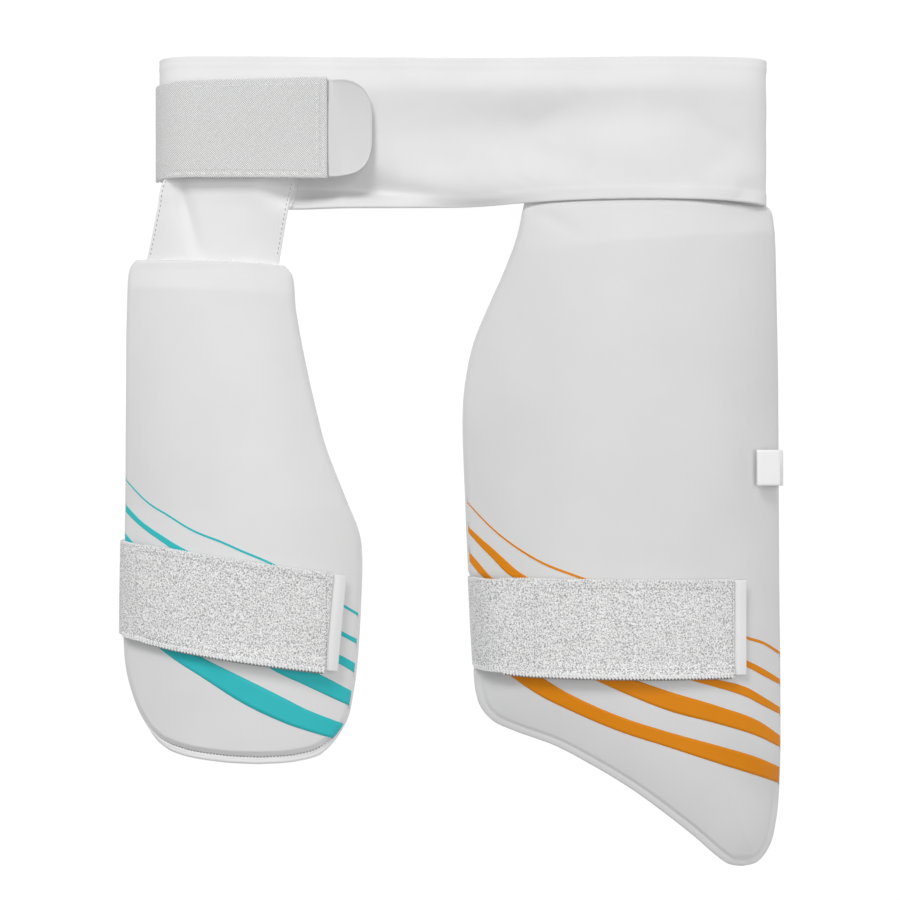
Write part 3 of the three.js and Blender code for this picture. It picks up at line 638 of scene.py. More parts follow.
# The terry's pit tone is painted shade in the hollows between its loops
LOOP_WEBBING = terry_cloth("loop_webbing", grey(0.33), grey(0.60), grey(0.98))
LOOP_EDGE = new_material("loop_edge", grey(0.84), 0.9, specular=0.15)
WOVEN_WEBBING = woven_cloth("woven_webbing", grey(0.46), grey(0.98))
HOOK_TAPE = smooth_cloth("hook_tape", grey(0.79), grey(0.83), 0.8, 0.5)
TAB_RUBBER = smooth_cloth("tab_rubber", grey(0.655), grey(0.67), 0.5, 0.15)
LABEL_CLOTH = smooth_cloth("label_cloth", grey(0.86), grey(0.92), 0.6, 0.3)
THREAD = new_material("thread", grey(0.84), 0.7)
# Painted shade: dark grey for stitch holes, and for the row under each strap's lower edge that stands for its
# shadow
SEWN_PIT_SHADE = new_material("sewn_pit_shade", grey(0.30), 0.9)
# Painted shade: a mid grey for the stitch holes pressed into the terry and the inner pad's seam
LOOP_PIT_SHADE = new_material("loop_pit_shade", grey(0.46), 0.9)
TEAL_PRINT = smooth_cloth("teal_print", (0.032, 0.50, 0.53), (0.038, 0.53, 0.56), 0.6, 0.2)
ORANGE_PRINT = smooth_cloth("orange_print", (0.72, 0.235, 0.003), (0.75, 0.25, 0.004), 0.6, 0.2)


# Pads

# The solid's foam below its upper edge, inward in lengths of its top ramp
SOLID_RISE = (
    dict(inward=0, rise=0),
    dict(inward=0.5, rise=0.36),
    dict(inward=1, rise=0.62),
    dict(inward=1.6, rise=0.76),
    dict(inward=3, rise=0.92),
    dict(inward=5, rise=1),
)
solid_rise = column(SOLID_RISE, "inward", "rise")


class Pad:
    """A thigh pad: its outline, the arch that it is moulded to and the foam on it."""

    def __init__(self, node, left_side, right_side, **sizes):
        low, high = box_mm(node)
        self.left = low[0] - ORIGIN[0]
        self.top = high[1] - ORIGIN[1]
        self.width = high[0] - low[0]
        self.length = high[1] - low[1]
        for name, size in sizes.items():
            setattr(self, name, size)
        self.sides = [self.side_curve(left_side), self.side_curve(right_side)]
        rim = WEBBING_THICKNESS + GAP
        self.crown = rim + self.curve - math.sqrt(self.curve ** 2 - (self.width / 2) ** 2)
        self.top_middle = (self.sides[0][0, 0] + self.sides[1][0, 0]) / 2
        self.wide_middle = self.left + self.width / 2
        self.outline = np.vstack([self.sides[0], self.sides[1][::-1]])
        self.field_x = np.arange(self.left - 8, self.left + self.width + 8)
        self.field_y = np.arange(self.top - self.length - 8, self.top + 8)
        x, y = np.meshgrid(self.field_x, self.field_y, indexing="ij")
        inside = (x > self.edge_at(0, y)) & (x < self.edge_at(1, y)) & (y > self.top - self.length)
        self.field = self.measured_distance(x, y) * np.where(inside, 1, -1)

    def side_curve(self, rows):
        """Points along one side, on a centripetal curve through the table's places."""
        knots = np.array([(self.left + a * self.width, self.top - d * self.length) for d, a in rows])
        padded = np.vstack([2 * knots[0] - knots[1], knots, 2 * knots[-1] - knots[-2]])
        line = []
        t = np.linspace(0, 1, 25)[:-1, None]
        for p0, p1, p2, p3 in zip(padded, padded[1:], padded[2:], padded[3:]):
            d0, d1, d2 = (math.sqrt(np.linalg.norm(b - a)) for a, b in ((p0, p1), (p1, p2), (p2, p3)))
            m1 = ((p1 - p0) / d0 - (p2 - p0) / (d0 + d1) + (p2 - p1) / d1) * d1
            m2 = ((p2 - p1) / d1 - (p3 - p1) / (d1 + d2) + (p3 - p2) / d2) * d1
            line.append(
                p1 + m1 * t + (3 * (p2 - p1) - 2 * m1 - m2) * t ** 2 + (2 * (p1 - p2) + m1 + m2) * t ** 3
            )
        return even(np.vstack(line + [knots[-1:]]), 400)

    def axis(self, y):
        down = (self.top - y) / (self.straight_from * self.length)
        return lerp(self.top_middle, self.wide_middle, np.clip(down, 0, 1))

    def arch(self, x, y):
        away = np.minimum(np.abs(x - self.axis(y)), self.width / 2)
        return self.crown - self.curve + np.sqrt(self.curve ** 2 - away ** 2)

    def edge_distance(self, x, y):
        """Distance in from the outline, read between the places of a one-millimetre grid."""
        gx = np.clip(np.asarray(x, float) - self.field_x[0], 0, len(self.field_x) - 1.001)
        gy = np.clip(np.asarray(y, float) - self.field_y[0], 0, len(self.field_y) - 1.001)
        i = gx.astype(int)
        j = gy.astype(int)
        near = lerp(self.field[i, j], self.field[i + 1, j], gx - i)
        far = lerp(self.field[i, j + 1], self.field[i + 1, j + 1], gx - i)
        return np.maximum(lerp(near, far, gy - j), 0)

    def measured_distance(self, x, y):
        points = np.stack([x.ravel(), y.ravel()], axis=1)
        starts = self.outline[:-1]
        spans = self.outline[1:] - starts
        size = np.maximum((spans ** 2).sum(axis=1), 1e-12)
        nearest = np.empty(len(points))
        for i in range(0, len(points), POINTS_AT_ONCE):
            away = points[i : i + POINTS_AT_ONCE, None, :] - starts
            t = np.clip((away * spans).sum(axis=2) / size, 0, 1)
            apart = ((away - t[..., None] * spans) ** 2).sum(axis=2)
            nearest[i : i + POINTS_AT_ONCE] = np.sqrt(apart.min(axis=1))
        return nearest.reshape(x.shape)

    def edge_at(self, side, y):
        line = self.sides[side]
        return np.interp(-np.asarray(y, float), -line[:, 1], line[:, 0])

    def foam_at(self, x, y):
        """Foam thickness: rounded off along the sides, a sloping top zone and a sewn rim below."""
        inset = self.edge_distance(x, y)
        low = self.lowness(x, y)
        side = 0.46 * rounded(inset, 3.5) + 0.54 * (1 - np.exp(-inset / 16.0))
        edge_roll = rounded(inset, self.rim_roll)
        step = smoothstep(inset, self.rim, self.rim + self.rim_step)
        band = np.clip(inset / max(self.rim, 1.0), 0, 1)
        below = self.rim_height * (0.5 * edge_roll + 0.5 * band) + self.rim_rise * step
        below = below + (0.97 - self.rim_height - self.rim_rise) * (
            1 - np.exp(-np.maximum(inset - self.rim, 0) / self.rim_reach)
        )
        crease = groove(inset, self.rim, self.rim_crease, 0.9) * low
        start = self.cover_start(x)
        inward = np.maximum(start - y, 0)
        knee = np.maximum(start - self.knee_line(x), 6.0)
        rise = np.interp(inward, [0, 1.0, 2.6, 6.0], [0, 0.17, 0.25, 0.30])
        rise = rise + (0.68 - 0.30) * np.clip((inward - 6.0) / (knee - 6.0), 0, 1)
        rise = rise + 0.32 * (1 - np.exp(-np.maximum(inward - knee, 0) / 75.0))
        thick = lerp(PAD_EDGE_THICKNESS, self.foam, lerp(side, below, low) * rise)
        return thick + crease + folds_at(self.dents, x, y)

    def cover_start(self, x):
        """Where the cover begins to rise: its own edge, or the belt's edge above it."""
        if self.tuck == 0:
            return self.top
        return belt_lower_edge(x) - 0.7

    def pressed(self, places):
        """Places moved in along the left side, where the strap pulls the pad together."""
        low, high, depth = self.strap_press
        y = places[..., 1]
        band = smoothstep(y, low - 4, low + 3) * (1 - smoothstep(y, high - 3, high + 4))
        near = 1 - smoothstep(places[..., 0] - self.edge_at(0, y), 0, 26)
        moved = places.copy()
        moved[..., 0] += depth * band * near
        return moved

    def lowness(self, x, y):
        """How far a place belongs to the lower rim, which starts lower on the right."""
        start = lerp(self.rim_from[0], self.rim_from[1], smoothstep((x - self.left) / self.width, 0.5, 1.0))
        return smoothstep((self.top - y) / self.length, start, start + self.rim_blend)

    def knee_line(self, x):
        """Where the top zone ends, left to right."""
        (x0, y0), (x1, y1) = self.knee
        return lerp(y0, y1, np.clip((x - x0) / (x1 - x0), -0.1, 1.1))

    def foam_bottom(self, x, y):
        return self.arch(x, y) + BACKING_THICKNESS + FOAM_GAP

    def face(self, x, y):
        return self.foam_bottom(x, y) + self.foam_at(x, y)

    def solid_face(self, x, y, shoulder):
        """The height of the plain solid's face, which the straps are fitted to."""
        round_off = rounded(self.edge_distance(x, y) - PAD_WELT, shoulder)
        inward = np.maximum((self.top - self.tuck - y) / self.top_ramp, 0)
        rise = solid_rise(np.minimum(inward, SOLID_RISE[-1]["inward"]))
        return self.foam_bottom(x, y) + lerp(PAD_EDGE_THICKNESS, self.foam, round_off * rise)

    def shortened(self, places):
        """Places drawn up from the lowest edge, where a flange shows below the cover."""
        low = smoothstep(self.top - places[..., 1], 0.8 * self.length, self.length)
        moved = places.copy()
        moved[..., 1] += self.cover_short * low
        return moved

    def places(self, rungs, columns):
        """Rungs of places between the two sides, closer together near the outline."""
        left = even(self.sides[0], rungs)
        right = even(self.sides[1], rungs)
        t = np.linspace(0, 1, columns)
        t = lerp(t, (1 - np.cos(np.pi * t)) / 2, 0.75)
        return left[:, None, :] + (right - left)[:, None, :] * t[None, :, None]


OUTER = Pad(
    "outer_pad", OUTER_LEFT_SIDE, OUTER_RIGHT_SIDE, foam=20.0, curve=175.0, tuck=14.0, top_ramp=24.0,
    straight_from=0.33, shoulder=15.0, knee=((70.0, -24.8), (188.0, -15.0)), rim=4.4, rim_roll=1.6,
    rim_height=0.16, rim_rise=0.05, rim_step=2.4, rim_crease=0.22, rim_reach=30.0, rim_blend=0.1,
    rim_from=(0.64, 0.82), cover_short=0.0, strap_press=(-288.0, -231.5, 2.5),
    dents=[dict(x=56.0, y=-8.5, reach=14.0, spread=4.6, turn=-30, rise=-1.2)],
)
INNER = Pad(
    "inner_pad", INNER_LEFT_SIDE, INNER_RIGHT_SIDE, foam=14.0, curve=125.0, tuck=0.0, top_ramp=19.0,
    straight_from=0.5, shoulder=13.0, knee=((-207.0, -49.4), (-107.0, -53.8)), rim=0.2, rim_roll=1.0,
    rim_height=0.06, rim_rise=0.22, rim_step=3.6, rim_crease=0.0, rim_reach=70.0, rim_blend=0.34,
    rim_from=(0.6, 0.6), cover_short=2.4, strap_press=(-270.0, -208.0, 0.0), dents=[],
)


def over(places, height):
    """A grid of places lifted to a height."""
    return np.dstack([places[..., 0], places[..., 1], height])


def pad_relief(x, y, seed):
    """Faint unevenness of moulded foam under its cloth."""
    return 0.22 * grain(x, y, 34, seed) + 0.1 * grain(x + 17, y, 15, seed + 1)


def pad_cover(pad, name, node_name, cloth, seed):
    places = pad.places(230, 130)
    x, y = places[..., 0], places[..., 1]
    calm = smoothstep(pad.edge_distance(x, y), 2, 14)
    top = pad.face(x, y) + pad_relief(x, y, seed) * calm
    places = pad.pressed(pad.shortened(places))
    piece = two_sided(name, over(places, top), over(places, pad.foam_bottom(x, y)), cloth, places)
    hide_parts(node_name)
    return piece


def pad_lining(pad, name, node_name, flange):
    places = pad.places(160, 60)
    x, y = places[..., 0], places[..., 1]
    low = smoothstep(pad.top - y, 0.8 * pad.length, 0.97 * pad.length)
    curl = flange * low * (1 - smoothstep(pad.edge_distance(x, y), 0.5, 5.0))
    bottom = pad.arch(x, y) + curl
    places = pad.pressed(places)
    top = over(places, bottom + BACKING_THICKNESS)
    piece = two_sided(name, top, over(places, bottom), LINING_CLOTH, places)
    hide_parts(node_name)
    return piece


def pad_flange(pad):
    """The white binding that shows below the inner pad's cover, with its stitches."""
    low = pad.outline[pad.outline[:, 1] < pad.top - 0.925 * pad.length]
    low = even(low[np.argsort(low[:, 0])], 120)
    tangent = np.gradient(low, axis=0)
    tangent /= np.linalg.norm(tangent, axis=1, keepdims=True)
    inward = np.column_stack([-tangent[:, 1], tangent[:, 0]])
    ends = np.clip(np.minimum(np.arange(120), np.arange(120)[::-1]) / 22.0, 0, 1)[:, None]
    rows = []
    for share in np.linspace(0, 1, 7):
        place = low + inward * lerp(lerp(0.9, -2.8, ends), 8.4, share)
        height = pad.arch(place[:, 0], place[:, 1]) + BACKING_THICKNESS + 1.7
        height = height - 3.4 * share + 1.2 * math.sin(min(share * 1.7, 1) * math.pi)
        rows.append(np.column_stack([place, height]))
    grid = np.array(rows)
    grid[..., 2] -= 0.6 * (1 - ends[None, :, 0])
    piece = shell("inner_pad_flange", grid[::-1], FLANGE_THICKNESS, FLANGE_CLOTH_PAINTED_LIGHT)
    seam = low + inward * lerp(2.6, 1.6, ends)
    height = pad.arch(seam[:, 0], seam[:, 1]) + BACKING_THICKNESS + 2.1
    rows = [(np.column_stack([seam, height]), upright(len(seam)))]
    # Stitch holes along the flange in a darker grey: painted shade
    stitches("inner_pad_seam", rows, LOOP_PIT_SHADE, pitch=2.1, length=1.5, radius=0.34)


def from_photo(across, down, height):
    """The place on a surface that the photograph shows at a pixel."""
    z = np.full(np.shape(across), 30.0)
    for _ in range(4):
        pixel = PHOTO_PIXEL * (1 - z / CAMERA_HEIGHT)
        x = CAMERA_X + (across - PHOTO_MIDDLE) * pixel
        y = CAMERA_Y + (PHOTO_MIDDLE - down) * pixel
        z = height(x, y)
    return x, y


def pad_stripes(pad, name, stripes, material, seed):
    """The printed stripes, as a thin film on the pad's cloth."""
    vertices = []
    faces = []
    for stripe in stripes:
        table = np.array(stripe, float)
        across = np.linspace(table[0, 0], table[-1, 0], 150)
        upper = through(table[:, 0], table[:, 1])(across)
        lower = through(table[:, 0], table[:, 2])(across)
        px = np.repeat(across[:, None], 7, axis=1)
        py = upper[:, None] + (lower - upper)[:, None] * np.linspace(0, 1, 7)
        x, y = from_photo(px, py, pad.face)
        y = np.where(y < pad.top - pad.length + 6, pad.top - pad.length + 6, y)
        x = np.clip(x, pad.edge_at(0, y) + STRIPE_INSET, pad.edge_at(1, y) - STRIPE_INSET)
        calm = smoothstep(pad.edge_distance(x, y), 2, 14)
        z = pad.face(x, y) + pad_relief(x, y, seed) * calm
        slope_x = pad.face(x + 0.3, y) - pad.face(x - 0.3, y)
        slope_y = pad.face(x, y + 0.3) - pad.face(x, y - 0.3)
        steep = np.hypot(slope_x, slope_y) / 0.6
        places = pad.pressed(np.dstack([x, y]))
        top = over(places, z + 0.14 * np.sqrt(1 + steep ** 2) + 0.05)
        base = over(places, z - 0.25)
        offset = sum(len(v) for v in vertices)
        vertices.append(np.vstack([top.reshape(-1, 3), base.reshape(-1, 3)]))
        rows, columns = x.shape
        faces.append(grid_faces(rows, columns, offset, True))
        faces.append(grid_faces(rows, columns, offset + rows * columns, False))
        faces.append(offset + border_faces(rows, columns, rows * columns)[:, ::-1])
    piece = tidy(add_mesh(name, np.vstack(vertices), np.vstack(faces).tolist(), material))
    return piece


# Belt

upper_height = column(BELT_SECTIONS, "along", "upper")
lower_height = column(BELT_SECTIONS, "along", "lower")
hem_share = column(BELT_SECTIONS, "along", "hem")


def placed_fold(fold, along, y):
    """A row of the fold tables in millimetres, at a share of the belt's width."""
    return dict(
        x=BELT_LEFT + along * BELT_WIDTH,
        y=y,
        reach=fold["reach"] * BELT_HEIGHT,
        spread=fold["spread"] * BELT_HEIGHT,
        turn=fold["turn"],
        rise=fold["rise"] * LOOP_DEPTH,
    )


PLACED_BELT_FOLDS = [placed_fold(fold, fold["along"], fold["up"] * BELT_HEIGHT) for fold in BELT_FOLDS]


def belt_lower_edge(x):
    return hem_share((np.clip(x, BELT_LEFT, BELT_RIGHT) - BELT_LEFT) / BELT_WIDTH) * BELT_HEIGHT


def belt_front(x, y):
    along = (x - BELT_LEFT) / BELT_WIDTH
    up = np.clip(y / BELT_HEIGHT, 0, 1)
    free = LOOP_DEPTH * lerp(lower_height(along), upper_height(along), up)
    free = free + folds_at(PLACED_BELT_FOLDS, x, y)
    cover = OUTER.foam_bottom(x, 0.0) + PAD_EDGE_THICKNESS + GAP + BELT_THICKNESS / 2
    lift = COVER_EASE * np.logaddexp(0, (cover - free) / COVER_EASE)
    return free + lift * (1 - smoothstep(y, OUTER.tuck, BELT_HEIGHT))


def belt_drop(x, y):
    """How far the belt sinks behind the panel and beside the tab, below the waist elastic's own line."""
    panel = BELT_SINK * (1 - smoothstep(y, -2, 40)) * (1 - smoothstep(x, -112, -70))
    trough = np.exp(-(((y - 13.5) / 10.0) ** 2)) * smoothstep(x, -130, -98) * (1 - smoothstep(x, -97, -14))
    turned = BELT_TURN_BACK * smoothstep(y, 71, 101)
    return panel + BELT_TROUGH * trough + turned - folds_at([PANEL_FOLD], x, y)


def dressed_belt(x, y):
    return belt_front(x, y) - belt_drop(x, y)


def slope_of(height, x, y):
    return height(x + 0.5, y) - height(x - 0.5, y)


ELASTIC_FLOOR = WEBBING_THICKNESS / 2
BELT_FLOOR = WEBBING_THICKNESS + GAP + BELT_THICKNESS / 2


def belt_line(share):
    left_start = BELT_LEFT + BELT_FOLD_REACH
    right_start = BELT_RIGHT - BELT_FOLD_REACH
    left_y = lerp(belt_lower_edge(left_start), BELT_HEIGHT, share)
    right_y = lerp(belt_lower_edge(right_start), BELT_HEIGHT, share)
    corner_cut = BELT_CORNER_CUT * (1 - smoothstep(share, 0.05, 0.24))
    left_fold = fold_points(
        -1,
        (left_start, float(dressed_belt(left_start, left_y))),
        float(slope_of(dressed_belt, left_start, left_y)),
        (BELT_LEFT + BELT_THICKNESS / 2 + corner_cut, LOOP_DEPTH * 0.56),
        None,
        BELT_FOLD_PIECES[0],
    )[::-1]
    right_fold = fold_points(
        1,
        (right_start, float(dressed_belt(right_start, right_y))),
        float(slope_of(dressed_belt, right_start, right_y)),
        (BELT_RIGHT - BELT_THICKNESS / 2, LOOP_DEPTH * lerp(0.49, 0.53, share)),
        (BELT_RIGHT - BELT_FOLD_REACH - 4, BELT_FLOOR),
        BELT_FOLD_PIECES[1],
    )
    front = np.linspace(left_start, right_start, 240)[1:-1]
    edge_y = lambda x: lerp(belt_lower_edge(x), BELT_HEIGHT, share)
    tail = np.linspace(right_fold[-1, 0], BELT_RIGHT - BELT_FOLD_REACH - BELT_TAIL, 8)[1:]
    turned = BELT_FOLD_PIECES[1]
    right_place_y = [edge_y(BELT_RIGHT if i > turned else x) for i, x in enumerate(right_fold[:, 0])]
    return joined(
        (left_fold[:, 0], left_y, left_fold[:, 1]),
        (front, edge_y(front), dressed_belt(front, edge_y(front))),
        (right_fold[:, 0], right_place_y, right_fold[:, 1]),
        (tail, edge_y(BELT_RIGHT), BELT_FLOOR),
    )


def belt_relief(u, v):
    """Turned hems with their sewn grooves, a few creases and the cloth's faint drag lines."""
    height = v[-1:, :]
    low = v
    high = height - v
    hems = 0.35 * (1 - smoothstep(high, 7.0, 8.6)) + 0.35 * (1 - smoothstep(low, 7.0, 8.6))
    grooves = groove(high, 2.4, 0.3, 0.5) + groove(low, 3.4, 0.3, 0.5)
    drag = 0.35 * grain(u * 0.35, v, 14, 5) + 0.12 * grain(u, v, 9, 6)
    calm = smoothstep(np.minimum(low, high), 2, 12)
    return hems + grooves + drag * calm


def waist_belt():
    shares = spread(-0.3, BELT_HEIGHT + 1.0, 74) / BELT_HEIGHT
    lines = np.array([belt_line(share) for share in shares[::-1]])
    piece = shell("belt_cloth", lines, BELT_THICKNESS, BELT_CLOTH, belt_relief)
    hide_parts("waist_belt")
    top = 1 - 1.2 / BELT_HEIGHT
    low = 3.2 / BELT_HEIGHT
    lift = BELT_THICKNESS / 2 + 0.1
    left = BELT_LEFT + BELT_FOLD_REACH * 0.4
    rows = [seam_along(belt_line, top, left, BELT_RIGHT - 4, lift), seam_along(belt_line, low, -100, 0, lift)]
    return stitches("belt_stitches", rows, THREAD, pitch=2.1, length=1.5, radius=0.2)


TAPE_ON_BELT = BELT_THICKNESS / 2 + GAP + TAPE_THICKNESS / 2
PANEL_ON_BELT = TAPE_ON_BELT + TAPE_THICKNESS / 2 + GAP + PANEL_THICKNESS / 2
HOOK_ON_BELT = PANEL_ON_BELT + PANEL_THICKNESS / 2 + GAP + TAPE_THICKNESS / 2
ELASTIC_ON_BELT = HOOK_ON_BELT + TAPE_THICKNESS / 2 + GAP + WEBBING_THICKNESS / 2
WAIST_ELASTIC_END = BELT_LEFT + WAIST_ELASTIC_LAP - WAIST_SIDE_STEP
WAIST_CENTRE_LINE = WAIST_ELASTIC_BOTTOM + WEBBING_WIDTH / 2
WAIST_TILT = math.tan(math.radians(WAIST_ELASTIC_TILT))


def waist_y(across, x, side):
    free = np.clip((x - BELT_LEFT) / WAIST_ELASTIC_LAP, 0, 1.3) * (side > 0)
    width = WEBBING_WIDTH * (0.985 + 0.055 * free)
    return WAIST_CENTRE_LINE - 1.2 * (side > 0) + across * width + side * WAIST_TILT * (x - BELT_LEFT)


def waist_elastic_line(across):
    start = BELT_LEFT + BELT_FOLD_REACH + 6
    height = lambda x, y: belt_front(x, y) + ELASTIC_ON_BELT
    start_y = waist_y(across, start, 1)
    fold = fold_points(
        -1,
        (start, float(height(start, start_y))),
        float(slope_of(height, start, start_y)),
        (BELT_LEFT - WAIST_SIDE_STEP + WEBBING_THICKNESS / 2, LOOP_DEPTH * 0.57),
        (start - 2, ELASTIC_FLOOR),
        WAIST_FOLD_PIECES,
    )
    front = np.linspace(WAIST_ELASTIC_END, start, 130)[:-1]
    floor = np.linspace(start - 2, BELT_RIGHT - BELT_FOLD_REACH + 3, 60)[1:]
    fold_y = [waist_y(across, x, -1 if i > WAIST_FOLD_PIECES else 1) for i, x in enumerate(fold[:, 0])]
    front_y = waist_y(across, front, 1)
    return joined(
        (front, front_y, height(front, front_y)),
        (fold[:, 0], fold_y, fold[:, 1]),
        (floor, waist_y(across, floor, -1), ELASTIC_FLOOR),
    )


def webbing_relief(u, v):
    """Firm selvedges and sewn rows round the free end of the elastic."""
    width = v[-1:, :]
    side = np.minimum(v, width - v)
    rows = groove(side, 3.4, 0.22, 0.4)
    ends = groove(u, 5.6, 0.3, 0.4) + groove(u, 3.0, 0.2, 0.4)
    ribs = 0.06 * np.sin(v * 2 * math.pi / 1.5)
    return rows + ends + ribs + 0.08 * grain(u, v, 1.0, 3)


def waist_elastic():
    shares = spread(-0.5 * WEBBING_WIDTH, 0.5 * WEBBING_WIDTH, 90, 0.8) / WEBBING_WIDTH
    lines = np.array([waist_elastic_line(share) for share in shares[::-1]])
    piece = shell("waist_webbing", lines, WEBBING_THICKNESS, WOVEN_WEBBING, webbing_relief)
    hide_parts("waist_elastic")
    lift = WEBBING_THICKNESS / 2 + 0.02
    left = BELT_LEFT + 8
    end = WAIST_ELASTIC_END
    line = waist_elastic_line
    rows = [seam_along(line, 0.5 - 4.2 / WEBBING_WIDTH, left + 14, end - 4, lift)]
    rows += [seam_across(line, end - inset, -0.47, 0.45, lift) for inset in (2.6, 6.6)]
    stitches("waist_stitches", rows, THREAD, pitch=1.9, length=1.35, radius=0.2)
    lace = [seam_along(line, -0.5 + 2.4 / WEBBING_WIDTH, left, end - 1, lift)]
    stitches("waist_overlock", lace, THREAD, pitch=1.5, length=2.2, radius=0.2, slant=58)
    # Dark stitch holes along the elastic: painted shade
    pits = [seam_along(line, -0.5 + 4.6 / WEBBING_WIDTH, left, end - 5, lift - 0.1)]
    pits += [seam_across(line, end - 4.6, -0.44, 0.43, lift - 0.1)]
    return stitches("waist_pits", pits, SEWN_PIT_SHADE, pitch=1.9, length=0.8, radius=0.17)


def waist_tab():
    left = WAIST_ELASTIC_END - TAB_TONGUE
    grip_start = WAIST_ELASTIC_END + GAP
    right = WAIST_ELASTIC_END + TAB_REACH
    level_x = (left + grip_start) / 2
    half = WEBBING_WIDTH / 2
    slope_x = float(slope_of(belt_front, level_x, WAIST_CENTRE_LINE))
    rise = belt_front(level_x, WAIST_CENTRE_LINE + half) - belt_front(level_x, WAIST_CENTRE_LINE - half)
    slope_y = float(rise) / WEBBING_WIDTH
    base = float(belt_front(level_x, WAIST_CENTRE_LINE)) + HOOK_ON_BELT - TAPE_THICKNESS / 2
    angles = np.linspace(0, math.pi / 2, 48)
    x = np.concatenate([[left, grip_start - GAP], lerp(grip_start, right, np.sin(angles))])
    share = np.clip((x - grip_start) / (right - grip_start), 0, 1)
    tall = np.maximum(half * (1 - share ** TAB_CORNER_POWER) ** (1 / TAB_CORNER_POWER), 0.4)
    up = np.linspace(-1, 1, 61)
    up = lerp(up, np.sin(up * math.pi / 2), 0.7)
    grid_x = np.repeat(x[:, None], len(up), axis=1)
    grid_y = waist_y(0, grid_x, 1) + tall[:, None] * up[None, :]
    under = base + slope_x * (grid_x - level_x) + slope_y * (grid_y - WAIST_CENTRE_LINE)
    bow = TAB_BOW * smoothstep(grid_x, grip_start, grip_start + 12)
    under = under + bow * ((grid_y - waist_y(0, grid_x, 1)) / half) ** 2
    edge = np.minimum(tall[:, None] * (1 - np.abs(up))[None, :], right - grid_x)
    rim = 0.6 * rounded(edge, 0.5)
    dish = -0.35 * smoothstep(edge, 0.8, 1.5) * smoothstep(grid_x, grip_start + 1, grip_start + 2.4)
    thickness = np.where(grid_x < grip_start, TAPE_THICKNESS, TAB_THICKNESS - 0.5 + rim + dish)
    top = np.dstack([grid_x, grid_y, under + thickness])
    bottom = np.dstack([grid_x, grid_y, under])
    piece = two_sided("tab_grip", top, bottom, TAB_RUBBER, np.dstack([grid_x, grid_y]))
    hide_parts("waist_tab")
    return piece


# Thigh straps

# The loops that stand out along a strap's edges, and a painted shadow row below the lower edge: where across,
# from where, how high and of what form
LOOP_ROWS = {
    "_low_loops": dict(
        shares=(-0.497, -0.474), start=1, lift=0.35, material=LOOP_EDGE,
        stitch=dict(pitch=2.15, length=2.6, radius=0.72, slant=52),
    ),
    # A row of dark pieces just below the lower edge: painted shadow of the strap on the pad
    "_under_shadow": dict(
        shares=(-0.514,), start=18, lift=-1.5, material=SEWN_PIT_SHADE,
        stitch=dict(pitch=1.3, length=1.7, radius=0.5),
    ),
    "_high_loops": dict(
        shares=(0.495,), start=1, lift=0.25, material=LOOP_EDGE,
        stitch=dict(pitch=1.9, length=2.0, radius=0.55, slant=-55),
    ),
}


